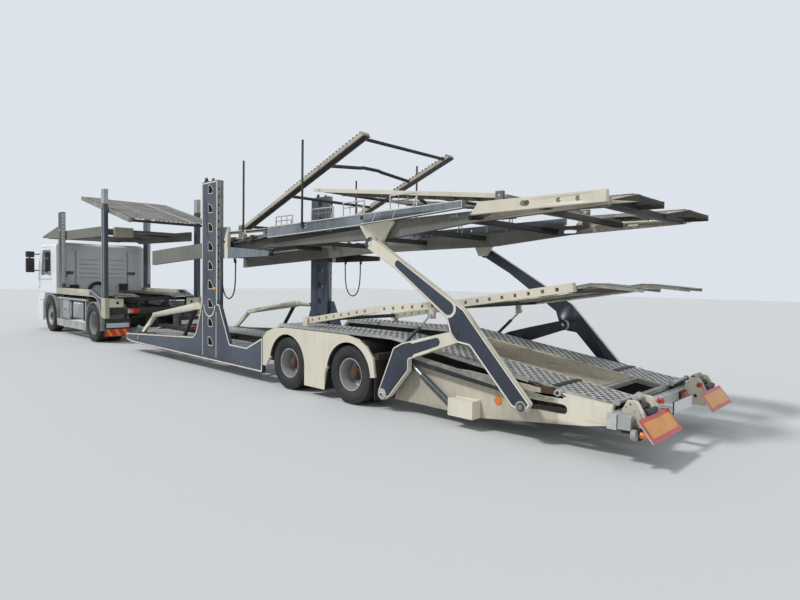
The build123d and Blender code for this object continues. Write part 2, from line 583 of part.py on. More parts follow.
head_lamp = block(X_FRONT - 300, X_FRONT + 10, LAMP_Y0 + SEAT_GAP, LAMP_Y1 - SEAT_GAP, LAMP_Z0 + SEAT_GAP,
                  LAMP_Z1 - SEAT_GAP)
lamp_outline = Pos(X_FRONT - 6 - 200, 0, 0) * Rectangle(400, 2 * (CAB_HALF + 14))
lamp_outline = fillet(lamp_outline.vertices().group_by(Axis.X)[-1], 274)
lamp_inner = Pos(X_FRONT - 6 - 60 - 200, 0, 0) * Rectangle(400, 2 * (CAB_HALF - 46))
lamp_inner = fillet(lamp_inner.vertices().group_by(Axis.X)[-1], 214)
lamp_band = Pos(0, 0, 500) * extrude(lamp_outline, amount=400) - Pos(0, 0, 490) * extrude(lamp_inner,
                                                                                          amount=420)
head_lamp = head_lamp & lamp_band
front_bumper = bumper()
save("head_lamps", *both_sides(head_lamp))

grille_back = X_FRONT - CAB_NOSE_SETBACK + SEAT_GAP
grille_bars = [block(grille_back, X_FRONT - 20, -560, 560, CAB_NOSE_Z + 40 + i * 62, CAB_NOSE_Z + 74 + i * 62)
               for i in range(5)]
grille_posts = [block(grille_back, X_FRONT - 30, y - 20, y + 20, CAB_NOSE_Z - MOVE_GAP - 30, CAB_NOSE_Z + 322)
                for y in (-540, -180, 180, 540)]
save("front_bumper", joined(front_bumper, *grille_bars, *grille_posts))

mirror_x = X_FRONT - 330
MIRROR_Y0 = CAB_HALF + 115
MIRROR_Y1 = MIRROR_Y0 + 220
mirror_set = joined(
    fillet(block(mirror_x, mirror_x + 110, MIRROR_Y0, MIRROR_Y1, 1700, 2130).edges(), 30),
    fillet(block(mirror_x, mirror_x + 110, MIRROR_Y0, MIRROR_Y1, 2150, 2330).edges(), 30),
    block(mirror_x + 40, mirror_x + 70, MIRROR_Y0 + 100, MIRROR_Y0 + 130, 2120, 2160),
    *[bar((mirror_x + 55, CAB_HALF - 60, z), (mirror_x + 55, MIRROR_Y0 + 70, z), 16) for z in (1760, 2250)],
)
save("mirrors", *both_sides(mirror_set - cab_volume(0)))


# Mudguards, tanks and side equipment of the truck
def arch(x, z, inner, sheet, y0, y1, cut_z, start_x, end_x):
    """A curved mudguard sheet over a wheel, cut off level at a height on each side."""
    ring = cross_rod(x, z, inner + sheet, y0, y1) - cross_rod(x, z, inner, y0 - 1, y1 + 1)
    return ring - block(x - 2000, x + 2000, y0 - 5, y1 + 5, z - 2000, cut_z) - block(
        x + end_x, x + 2000, y0 - 5, y1 + 5, 0, 3000) - block(x - 2000, x + start_x, y0 - 5, y1 + 5, 0, 3000)


def guard_stay(axle_x, radius, along, thickness, reach):
    """A tube from the frame rail to a mudguard of the given radius."""
    height = math.sqrt(radius ** 2 - along ** 2)
    return cross_rod(axle_x + along, TRUCK_TYRE_R + height, thickness, RAIL_Y, reach)


cab_guard = arch(X_AXLE_1, TRUCK_TYRE_R, ARCH_R + 1, 14, 700, CAB_HALF, 360, -1900, 560)
cab_guard = cab_guard - cab_volume(0) - front_bumper
cab_guard = joined(cab_guard, guard_stay(X_AXLE_1, ARCH_R + 15, -490, 17, 760))
drive_guard = arch(X_AXLE_2, TRUCK_TYRE_R, 505, 14, 560, CAB_HALF + 20, 300, -1900, 1900)
drive_guard = joined(drive_guard, *[guard_stay(X_AXLE_2, 512, d, 17, 600) for d in (-400, 400)])

tank_rear, tank_front = X_AXLE_2 + 640, X_AXLE_1 - 760
tank_middle = (tank_rear + tank_front) / 2
TANK_OUT = CAB_HALF - 55
SKIRT_IN = CAB_HALF - 35
tank = fillet(block(tank_rear, tank_middle + 260, 640, TANK_OUT, 470, 960).edges().filter_by(Axis.X), 90)
tool_box = fillet(block(tank_middle + 290, tank_front, 620, TANK_OUT, 420, 1000).edges().filter_by(Axis.X),
                  30)
hangers = [block(x - 30, x + 30, RAIL_Y, 640, 640, 700) for x in (tank_rear + 150, tank_middle)]
box_hanger = block(tank_front - 200, tank_front - 140, RAIL_Y, 620, 640, 700)
save("side_tanks", *both_sides(joined(tank, *hangers)), *both_sides(joined(tool_box, box_hanger)))
skirt = block(X_AXLE_2 + 560, X_AXLE_1 - 640, SKIRT_IN, CAB_HALF, 230, 420)
guard_tube = bar((X_AXLE_2 + 540, SKIRT_IN + 10, 1000), (X_AXLE_1 - 700, SKIRT_IN + 10, 1000), 26)
guard_legs = [block(x - 25, x + 25, TANK_OUT + SEAT_GAP, SKIRT_IN, 240, 980) for x in (tank_rear + 60,
                                                                                       tank_front - 120)]
side_guard = joined(skirt, guard_tube, *guard_legs)
save("truck_guards", *both_sides(cab_guard), *both_sides(drive_guard), *both_sides(side_guard))


# Truck superstructure
TRUCK_POST_REAR = X_AXLE_2 - 620
TRUCK_POST_FRONT = X_AXLE_1 - 950


def truck_side():
    """One side of the truck's loading frame: beam, sloped rear cheek, tail plate and two posts."""
    beam = block(X_AXLE_2 + 300, CAB_REAR - 60, SIDE_BEAM_IN, SIDE_BEAM_OUT, 1110, 1280)
    cheek = side_plate([(X_AXLE_2 + 300, 1110), (X_AXLE_2 + 300, 1280), (X_AXLE_2 + 180, 1280),
                        (X_AXLE_2 - 300, 1140), (X_AXLE_2 - 530, 1110), (X_AXLE_2 - 760, 1110),
                        (X_AXLE_2 - 760, 620), (X_AXLE_2 - 560, 620), (X_AXLE_2 - 470, 760),
                        (X_AXLE_2 - 380, 930), (X_AXLE_2 - 200, 1060), (X_AXLE_2, 1110)],
                       SIDE_BEAM_IN, SIDE_BEAM_OUT)
    rear_post = block(TRUCK_POST_REAR - 90, TRUCK_POST_REAR + 90, SIDE_BEAM_IN, SIDE_BEAM_OUT, 1000, 3700)
    front_post = block(TRUCK_POST_FRONT - 150, TRUCK_POST_FRONT + 150, SIDE_BEAM_IN, SIDE_BEAM_OUT, 1110,
                       3370)
    return joined(beam, cheek, rear_post, front_post)


truck_sides = both_sides(truck_side())

tail_box = block(X_AXLE_2 - 760, X_AXLE_2 - 690, -SIDE_BEAM_IN, SIDE_BEAM_IN, 700, 860)
tail_cheeks = both_sides(block(X_AXLE_2 - 760, X_AXLE_2 - 690, 780, SIDE_BEAM_IN, 860, 1100))
tail_plates = both_sides(block(X_AXLE_2 - 740, X_AXLE_2 - 715, 620, SIDE_BEAM_OUT, 170, 600))
tail_stays = both_sides(block(X_AXLE_2 - 730, X_AXLE_2 - 700, 700, 760, 600, 700))
tail_lamps = both_sides(block(X_AXLE_2 - 785, X_AXLE_2 - 760, 420, 700, 730, 830))
truck_tail = joined(tail_box, *tail_cheeks, *tail_plates, *tail_stays, *tail_lamps)

deck_front, deck_rear = CAB_REAR - 80, X_AXLE_2 - 900
truck_track = track([(deck_front, TRUCK_DECK_Z), (X_AXLE_2 - 520, TRUCK_DECK_Z),
                     (deck_rear, TRUCK_DECK_Z - 60)],
                    TRACK_IN, TRACK_OUT, slot_pitch=330)
track_feet = [block(x - 40, x + 40, TRACK_IN + 20, TRACK_OUT - 20, 1110, TRUCK_DECK_Z - TRACK_SHEET)
              for x in (X_AXLE_2 + 700, X_AXLE_1 - 1400, X_AXLE_1 - 880)]
save("truck_lower_tracks", *both_sides(joined(truck_track, *track_feet)))


# Deck over the cab, which slides up in the front posts
def cab_deck():
    """Side beams with a wedge over the cab, cross tubes, and the tracks between them."""
    inner, outer = SIDE_BEAM_IN - 90, SIDE_BEAM_IN - MOVE_GAP
    rear = X_AXLE_2 - 430
    beam = side_plate([(rear, 2600), (rear, 2840), (CAB_REAR - 40, 2860), (CAB_REAR + 60, 3040),
                       (X_FRONT - 330, 2790), (X_FRONT - 330, 2740), (CAB_REAR + 100,
                                                                      2680), (CAB_REAR - 100, 2620)],
                      inner, outer)
    crossings = [cross_rod(x, 2755, 40, -inner, inner)
                 for x in (rear + 150, X_AXLE_2 + 900, TRUCK_POST_FRONT, CAB_REAR + 500, X_FRONT - 600)]
    shoes = both_sides(block(TRUCK_POST_FRONT - 120, TRUCK_POST_FRONT + 120, outer, SIDE_BEAM_IN - SEAT_GAP,
                             2650, 2830))
    return joined(*both_sides(beam), *crossings, *shoes)


cab_deck_frame = cab_deck()
cab_deck_track = track([(X_AXLE_2 + 300, 2835), (CAB_REAR, 2835), (X_FRONT - 420, 2835)], TRACK_IN, TRACK_OUT,
                       thickness=40, slot_pitch=330)
save("cab_deck_frame", cab_deck_frame)
save("cab_deck_tracks", *both_sides(cab_deck_track - cab_deck_frame))


def ramp():
    """The tilted rear deck of the truck: side beams, two tracks, a centre panel and two props."""
    x, z = RAMP_PIVOT
    inner, outer = SIDE_BEAM_IN - 80, SIDE_BEAM_IN - MOVE_GAP
    front, rear = x + 1860, x - 1330
    side = block(rear, front, inner, outer, z - 60, z + 40)
    tracks = [track([(front, z + 40), (rear, z + 40)], y0, y1, thickness=36, slot_pitch=330)
              for y0, y1 in ((TRACK_IN, TRACK_OUT), (-TRACK_OUT, -TRACK_IN))]
    centre = track([(front, z + 30), (rear, z + 30)], -TRACK_IN, TRACK_IN, thickness=24, slot_pitch=330,
                   slot_wide=560)
    crossings = [block(cx - 30, cx + 30, -inner, inner, z - 50, z + 4)
                 for cx in (front - 60, x + 600, x - 500, rear + 60)]
    flat = joined(*both_sides(side), *tracks, centre, *crossings)
    pins = both_sides(cross_rod(x, z, RAMP_PIN_R, outer - 5, SIDE_BEAM_IN + 60))
    return flat, pins


ramp_flat, ramp_pins = ramp()
truck_ramp = joined(turned(ramp_flat, RAMP_PIVOT, -RAMP_ANGLE), *ramp_pins)
save("truck_ramp", truck_ramp)
ramp_bores = both_sides(cross_rod(*RAMP_PIVOT, RAMP_PIN_R + SEAT_GAP, SIDE_BEAM_IN - 5, SIDE_BEAM_OUT + 5))
save("truck_side_frames", joined(*truck_sides, truck_tail) - ramp_bores)


# Trailer side frames with their posts
def hole_outline(x, z, wide, tall):
    """A rounded quarter-circle hole, as cut in the posts."""
    return side_plate([(x + wide / 2, z - tall / 2), (x + wide / 2, z + tall / 2),
                       (x - wide * 0.05, z + tall * 0.3),
                       (x - wide / 2, z - tall * 0.15), (x - wide / 2, z - tall / 2)],
                      POST_IN - 50, HALF_WIDTH + 50, radius=24)


def trailer_side():
    """One side frame: a deep wedge panel, a gusset up to the post, and the pierced post."""
    x0 = X_AXLE_4
    panel = side_plate([(x0 + 7360, 400), (x0 + 7360, 250), (x0 + 7080, 215), (x0 + 2010, 170),
                        (x0 + 2000, 730),
                        (x0 + 2470, 530), (x0 + 2990, 540), (x0 + 3330, 1190), (x0 + 3950,
                                                                                1190), (x0 + 4180, 640),
                        (x0 + 4300, 560)], FRAME_IN, PLATE_FACE)
    post = block(POST_REAR, POST_FRONT, POST_IN, PLATE_FACE, POST_FOOT_Z, POST_TOP)
    holes = [hole_outline(x0 + 3640, TOP_HOLE_Z - i * HOLE_PITCH, HOLE_SIZE,
                          HOLE_SIZE) for i in range(HOLE_COUNT)]
    lip = block(x0 + 2020, x0 + 7000, FRAME_IN - 20, FRAME_IN, 200, 240)
    return joined(panel, post, lip) - holes


# Trailer running gear
TRAILER_AXLE_TUBE = 62
save("trailer_axles", *[axle(x, TRAILER_TYRE_R, TRAILER_AXLE_TUBE, HALF_WIDTH - TYRE_SIDE_GAP, TRAILER_TYRE_W,
                             TRAILER_TWIN_PITCH) for x in (X_AXLE_3, X_AXLE_4)])

FLAP_X = 463
LOWER_LINE = [(X_AXLE_4 + 7200, LOW_DECK_Z), (X_AXLE_4 + 2520, LOW_DECK_Z), (X_AXLE_4 + 1960, HIGH_DECK_Z),
              (X_AXLE_4 - 520, HIGH_DECK_Z), (X_AXLE_4 - 3450, TAIL_DECK_Z)]


def trailer_chassis():
    """Two spine beams that follow the lower deck, cross-members, outriggers, suspension and the drawbar."""
    x0 = X_AXLE_4
    under = offset_path(LOWER_LINE, TRACK_SHEET)[len(LOWER_LINE):][::-1]
    spine_top = [under[0], under[1], under[2], under[3], under[4]]
    spine = side_plate(spine_top + [(x0 - 3450, 330), (x0 - 2000, 300), (x0 - 700, 560), (x0 + 1900, 560),
                                    (x0 + 2300, 240), (x0 + 7200, 240)], 560, 640)
    low_ties = [block(x0 + d - 50, x0 + d + 50, -reach, reach, 250, 340)
                for d, reach in ((7100, FRAME_IN), (5900, FRAME_IN), (4700, FRAME_IN), (3680, POST_IN),
                                 (2700, FRAME_IN))]
    high_ties = [block(x0 + d - 40, x0 + d + 40, -GUARD_IN, GUARD_IN, 640, 720) for d in (1940, 680, -500)]
    tail_ties = [block(x0 + d - 40, x0 + d + 40, -BEAM_Y0, BEAM_Y0, 350, 420) for d in (-1500, -2500, -3380)]
    hangers = [joined(block(x + 60, x + 180, 560, 640, TRAILER_TYRE_R - 90, 560),
                      block(x - 62, x + 180, 560, 640, TRAILER_TYRE_R - 90,
                            TRAILER_TYRE_R - TRAILER_AXLE_TUBE))
               for x in (X_AXLE_3, X_AXLE_4)]
    eye = upright(X_PIVOT, 0, 70, PIVOT_Z - 30, PIVOT_Z + 30)
    shank = plan_plate([(X_PIVOT - 40, -50), (X_PIVOT - 40, 50), (X_PIVOT - 400, 95), (x0 + 7000, 110),
                        (x0 + 7000, -110), (X_PIVOT - 400, -95)], PIVOT_Z - 30, PIVOT_Z + 30)
    neck = block(x0 + 6900, x0 + 7200, -200, 200, 250, PIVOT_Z + 10)
    braces = both_sides(plan_plate([(X_PIVOT - 700, 60), (X_PIVOT - 620, 60), (x0 + 7100, 760),
                                    (x0 + 6980, 760)],
                                   PIVOT_Z - 60, PIVOT_Z - 10))
    nose = block(x0 + 7010, x0 + 7150, -800, 800, 250, 400)
    body = joined(*both_sides(spine), *low_ties, *high_ties, *tail_ties,
                  *[s for h in hangers for s in both_sides(h)],
                  eye, shank, neck, nose, *braces)
    bore = upright(X_PIVOT, 0, PIVOT_PIN_R + SEAT_GAP, PIVOT_Z - 60, PIVOT_Z + 60)
    flaps = both_sides(block(x0 - FLAP_X - 12, x0 - FLAP_X, 760, GUARD_IN - 5, 120, 660))
    return joined(body - bore, *flaps)


lower_track = track(LOWER_LINE, TRACK_IN, TRACK_OUT, slot_pitch=330)
chassis = trailer_chassis() - both_sides(side_plate(offset_path(LOWER_LINE, TRACK_SHEET), TRACK_IN,
                                                    TRACK_OUT))
chassis = chassis - both_sides(cross_rod(X_AXLE_3, TRAILER_TYRE_R, TRAILER_AXLE_TUBE, -2000, 2000))
chassis = chassis - both_sides(cross_rod(X_AXLE_4, TRAILER_TYRE_R, TRAILER_AXLE_TUBE, -2000, 2000))
save("trailer_chassis", chassis)
middle_seat = block(MIDDLE_PIVOT[0] - 50, MIDDLE_PIVOT[0] + 50, MIDDLE_OUT + MOVE_GAP, TRACK_OUT,
                    HIGH_DECK_Z - 5,
                    MIDDLE_PIVOT[1] + 40) - cross_rod(*MIDDLE_PIVOT, EAR_PIN_R + SEAT_GAP, MIDDLE_OUT,
                                                      TRACK_OUT + 10)
DECK_SLOPE = (HIGH_DECK_Z - TAIL_DECK_Z) / (LOWER_LINE[3][0] - LOWER_LINE[4][0])
PANEL_DROP = 12
panel_line = [(X_AXLE_4 - d, HIGH_DECK_Z - PANEL_DROP - (LOWER_LINE[3][0] - X_AXLE_4 + d) * DECK_SLOPE)
              for d in (1150, 3050)]
centre_panel = track(panel_line, -TRACK_IN, TRACK_IN, thickness=20)
left_lane = joined(lower_track, middle_seat)
save("trailer_lower_tracks", joined(left_lane, mirror(left_lane, about=Plane.XZ), centre_panel))


# Trailer mudguards with the locker door between the wheels
def trailer_guard():
    """A pressed skin over both wheels, pierced by two arches, with inner arch sheets and a locker door."""
    x0 = X_AXLE_4
    skin = side_plate([(x0 + 1990, 300), (x0 + 1990, 740), (x0 + 1880, 830), (x0 + 1700, 890),
                       (x0 + 1450, 915),
                       (x0 + 50, 915), (x0 - 180, 880), (x0 - 340, 800), (x0 - 470, 670), (x0 - 510, 420),
                       (x0 - 430, 410), (x0 - 400, 440), (x0 + 440, 440), (x0 + 500, 300), (x0 + 500, 130),
                       (x0 + 1000, 130), (x0 + 1000, 300), (x0 + 1800, 440), (x0 + 1900, 300)],
                      GUARD_IN, HALF_WIDTH)
    openings = [cross_rod(x, TRAILER_TYRE_R, 430, 1000, 1400) for x in (X_AXLE_3, X_AXLE_4)]
    openings += [block(x - 430, x + 430, 1000, 1400, 0, TRAILER_TYRE_R) for x in (X_AXLE_3, X_AXLE_4)]
    locker = block(x0 + 475, x0 + 885, HALF_WIDTH - 260, HALF_WIDTH, 130, 640)
    sheets = [arch(x, TRAILER_TYRE_R, 430, 10, 700, GUARD_IN, 420, -470, 470) for x in (X_AXLE_3, X_AXLE_4)]
    return joined(skin - openings, *sheets), locker


guard_skin, locker = trailer_guard()
locker = locker - [cross_rod(x, TRAILER_TYRE_R, 430, 900, 1400) for x in (X_AXLE_3, X_AXLE_4)]
save("trailer_mudguards", *both_sides(joined(guard_skin, locker) - chassis - lower_track))

# Rear side beams with the slot that guides each arm's foot
rear_beam = side_plate([(X_AXLE_4 - 530, 640), (X_AXLE_4 - 530, 150), (X_AXLE_4 - 900, 150),
                        (X_AXLE_4 - 1980, 140),
                        (X_AXLE_4 - 3190, 280), (X_AXLE_4 - 3450, 330), (X_AXLE_4 - 3450, TAIL_DECK_Z),
                        (X_AXLE_4 - 1780, 640)], BEAM_Y0, BEAM_Y1)
slot_front, slot_rear = ARM_FOOT[0] + 40, ARM_FOOT[0] - 340
slot_ends = [cross_rod(x, ARM_FOOT[1], SLOT_HALF, BEAM_Y0 - 10, BEAM_Y1 + 10) for x in (slot_front, slot_rear)]
slot = joined(*slot_ends, block(slot_rear, slot_front, BEAM_Y0 - 10, BEAM_Y1 + 10,
                                ARM_FOOT[1] - SLOT_HALF, ARM_FOOT[1] + SLOT_HALF))
foot_ear = block(RAM_BASE[0] - 330, RAM_BASE[0] + 10, BEAM_Y1, LINK_Y1, 140, 340)
fork_gap = block(RAM_BASE[0] - 80, RAM_BASE[0] + 60, BEAM_Y1 + 6, RAM_Y + RAM_R + 6, 100, 400)
ram_pin = cross_rod(*RAM_BASE, RAM_PIN_R, BEAM_Y1 - 10, RAM_Y + RAM_R + 20)
link_pin = cross_rod(*LINK_FOOT, PIN_R, BEAM_Y1 - 5, LINK_Y1 + 20)
middle_ear = block(MIDDLE_RAM_BASE[0] - 30, MIDDLE_RAM_BASE[0] + 30, BEAM_Y1 - 8, BEAM_Y1, 600,
                   MIDDLE_RAM_BASE[1] + 30)
middle_pin = cross_rod(*MIDDLE_RAM_BASE, MIDDLE_RAM_PIN_R, MIDDLE_RAM_Y - 14, BEAM_Y1)
rear_side = joined(rear_beam - slot, foot_ear - fork_gap, ram_pin, link_pin, middle_ear, middle_pin)
save("rear_side_beams", *both_sides(rear_side))


# Lift linkage
def pivot_hole(centre, radius):
    """A hole along Y right through a flat limb."""
    return cross_rod(*centre, radius, LINK_Y0 - 20, ARM_Y1 + 20)


def lift_arm():
    """A cranked arm with a pivot boss where the link joins it and a roller at its foot."""
    x0 = X_AXLE_4
    outline = [(x0 - 345, 2050), (x0 - 850, 1775), (x0 - 1640, 1235), (x0 - 1700, 1060), (x0 - 1790, 975),
               (x0 - 1960, 955), (x0 - 2500, 385), (x0 - 2660, 350), (x0 - 2720, 440), (x0 - 2085, 1120),
               (x0 - 1880, 1345), (x0 - 500, 2140)]
    plate = side_plate(outline, ARM_Y0, ARM_Y1, radius=25)
    ends = [cross_rod(*ARM_TOP, 85, ARM_Y0, ARM_Y1), cross_rod(*ARM_TOP, 55, ARM_Y0 - 9, ARM_Y0),
            cross_rod(*LINK_BOSS, PIN_R, LINK_Y0, ARM_Y1), cross_rod(*ARM_FOOT, 34, BEAM_Y0 + 5, ARM_Y0)]
    return joined(plate, *ends)


def lift_link():
    """A boomerang plate from its foot pivot to the arm's boss, with the ram's lug on its inner side."""
    x0 = X_AXLE_4
    outline = [(x0 - 1790, 1120), (x0 - 1250, 985), (x0 - 900, 890), (x0 - 760, 820), (x0 - 505, 250),
               (x0 - 570, 150),
               (x0 - 700, 200), (x0 - 1015, 560), (x0 - 1020, 700), (x0 - 1790, 980)]
    plate = side_plate(outline, LINK_Y0, LINK_Y1, radius=20)
    body = joined(plate, cross_rod(*LINK_BOSS, 75, LINK_Y0, LINK_Y1),
                  cross_rod(*LINK_FOOT, 75, LINK_Y0, LINK_Y1))
    return body - pivot_hole(LINK_BOSS, PIN_R + SEAT_GAP) - pivot_hole(LINK_FOOT, PIN_R + SEAT_GAP)


save("lift_arms", *both_sides(lift_arm()))
save("lift_links", *both_sides(lift_link()))


def ram(base, eye, y, radius, pin_r, barrel_share):
    """A ram from its base pin to its rod's eye: the barrel, a share of that length, and the rod."""
    length = math.dist(base, eye)
    ux, uz = (eye[0] - base[0]) / length, (eye[1] - base[1]) / length

    def at(along):
        return (base[0] + ux * along, y, base[1] + uz * along)

    half = min(radius, 26) * 0.5
    barrel_end = barrel_share * length
    rod_r = 0.58 * radius
    bush = cross_rod(*base, pin_r + 16, y - half, y + half)
    barrel = joined(bar(at(1.6 * radius), at(barrel_end), radius), bush,
                    bar(at(0), at(2 * radius), 0.6 * radius))
    bore = bar(at(0.2 * length), at(length), rod_r + SEAT_GAP)
    barrel = barrel - bore - cross_rod(*base, pin_r + SEAT_GAP, y - 90, y + 90)
    eye_ring = cross_rod(*eye, pin_r + 16, y - half, y + half)
    shank = bar(at(0.5 * length), at(length - pin_r - 2), rod_r)
    rod = joined(shank, eye_ring) - cross_rod(*eye, pin_r + 4, y - 90, y + 90)
    return barrel, rod


main_barrel, main_rod = ram(RAM_BASE, RAM_EYE, RAM_Y, RAM_R, RAM_PIN_R, 0.72)
save("ram_barrels", *both_sides(main_barrel))
save("ram_rods", *both_sides(main_rod))
small_barrel, small_rod = ram(MIDDLE_RAM_BASE, MIDDLE_RAM_EYE, MIDDLE_RAM_Y, MIDDLE_RAM_R, MIDDLE_RAM_PIN_R,
                              0.6)
save("middle_ram_barrels", *both_sides(small_barrel))
save("middle_ram_rods", *both_sides(small_rod))


# Tail of the trailer: roller brackets, lamps and leaning marker boards
BOARD_Z = 290
BOARD_LEAN = 38


def tail():
    """The cross-beam behind the lower deck, with a roller bracket, a lamp arm and a board on each side."""
    x1 = X_AXLE_4 - 3450
    beam = block(x1 - 90, x1, -BEAM_Y1 - 48, BEAM_Y1 + 48, 330, 470)
    bracket = block(x1 - 330, x1 - 90, 700, 760, 300, 600)
    outer = block(x1 - 330, x1 - 90, 1040, 1080, 280, 560)
    rollers = [cross_rod(x1 - 130 - 80 * i, 545 - 25 * i, 28, 760, 1040) for i in range(3)]
    board = turned(block(X_TAIL, X_TAIL + 18, 500, HALF_WIDTH - 35, BOARD_Z, BOARD_Z + 230),
                   (X_TAIL, BOARD_Z),
                   BOARD_LEAN)
    arm = block(X_TAIL + 50, x1 - 330, 900, 960, 330, 400)
    bridge = block(x1 - 345, x1 - 300, 700, 1080, 330, 400)
    plate = block(X_TAIL + 100, X_TAIL + 112, -60, 460, 400, 520)
    plate_stay = block(X_TAIL + 112, x1 - 90, 160, 240, 400, 440)
    return joined(beam, *both_sides(joined(bracket, outer, *rollers, board, arm, bridge)), plate, plate_stay)


save("trailer_tail", tail())


# Front loading arms of the trailer
def limb(points, widths, y0, y1):
    """A flat limb along a line of X and Z points, as wide as given at each, with round ends."""
    pieces = []
    for (xa, za), (xb, zb), wa, wb in zip(points, points[1:], widths, widths[1:]):
        run = math.hypot(xb - xa, zb - za)
        nx, nz = -(zb - za) / run, (xb - xa) / run
        pieces.append(side_plate([(xa + nx * wa / 2, za + nz * wa / 2), (xb + nx * wb / 2, zb + nz * wb / 2),
                                  (xb - nx * wb / 2, zb - nz * wb / 2), (xa - nx * wa / 2,
                                                                         za - nz * wa / 2)], y0, y1))
    for (x, z), w in zip(points, widths):
        pieces.append(cross_rod(x, z, w / 2, y0, y1))
    return joined(*pieces)


front_arm = limb([(X_AXLE_4 + 4350, 1110), (X_AXLE_4 + 6260, 840)], [130, 90], FRAME_IN - 135, FRAME_IN - 65)
front_foot = limb([(X_AXLE_4 + 6240, 838), (X_AXLE_4 + 6830, 440)], [80, 66], FRAME_IN - 130, FRAME_IN - 70)
front_stay = limb([(X_AXLE_4 + 4450, 1080), (X_AXLE_4 + 5000, 430)], [60, 56], FRAME_IN - 125, FRAME_IN - 75)
arm_seat = block(POST_FRONT, X_AXLE_4 + 4380, FRAME_IN - 115, FRAME_IN - 25, 1060, 1140)
foot_bar = block(X_AXLE_4 + 4950, X_AXLE_4 + 6900, FRAME_IN - 140, FRAME_IN, 380, 450)
save("front_loading_arms", *both_sides(joined(front_arm, arm_seat, front_foot, foot_bar, front_stay)))


# Upper deck of the trailer, with wire hoops along each side: front end, rear end and height of each
DECK_PIN_R = 30
ROLLER_X = X_AXLE_4 - 3600
ROLLER_Z = REAR_DECK_Z - 45
ROLLER_R = 32
HOOPS = [(1970, 1540, 2610), (1070, 580, 2660), (370, -50, 2695), (-530, -980, 2715)]


def oblong(x, z, long, tall, y0, y1):
    """A cutter for a hole with round ends through a plate between two values of Y."""
    reach = max(long - tall, 1) / 2
    ends = [cross_rod(x + d, z, tall / 2, y0 - 5, y1 + 5) for d in (-reach, reach)]
    return joined(*ends, block(x - reach, x + reach, y0 - 5, y1 + 5, z - tall / 2, z + tall / 2))


def hoop(front, rear, top, x0):
    """A wheel stop of bent wire that stands on the inner beam: two legs, a top bar and a sloped brace."""
    def foot(x):
        return 2330 + (x0 + 2000 - x) * 90 / 3800 - 6
    legs = [bar((x, HOOP_Y, foot(x)), (x, HOOP_Y, top), HOOP_WIRE_R) for x in (front, rear)]
    rail = bar((front + 4, HOOP_Y, top - 5), (rear - 4, HOOP_Y, top - 5), HOOP_WIRE_R)
    brace = bar((rear + 110, HOOP_Y, foot(rear + 110)), (rear, HOOP_Y, top - 40), HOOP_WIRE_R)
    return joined(*legs, rail, brace)


def rear_roller():
    """The roller behind one rear wheel track, between two arms that reach back from a cross-bar."""
    bar_x, low = ROLLER_X + 200, ROLLER_Z - 40
    arms = [block(ROLLER_X - 30, bar_x + 20, y0, y1, low, ROLLER_Z + 25)
            for y0, y1 in ((TRACK_OUT + 5, INNER_BEAM_IN + 10), (TRACK_IN - 55, TRACK_IN - 5))]
    cross_bar = block(bar_x, bar_x + 50, TRACK_IN - 55, INNER_BEAM_IN + 5, low, ROLLER_Z)
    return joined(*arms, cross_bar, cross_rod(ROLLER_X, ROLLER_Z, ROLLER_R, TRACK_IN - 30, TRACK_OUT + 30))


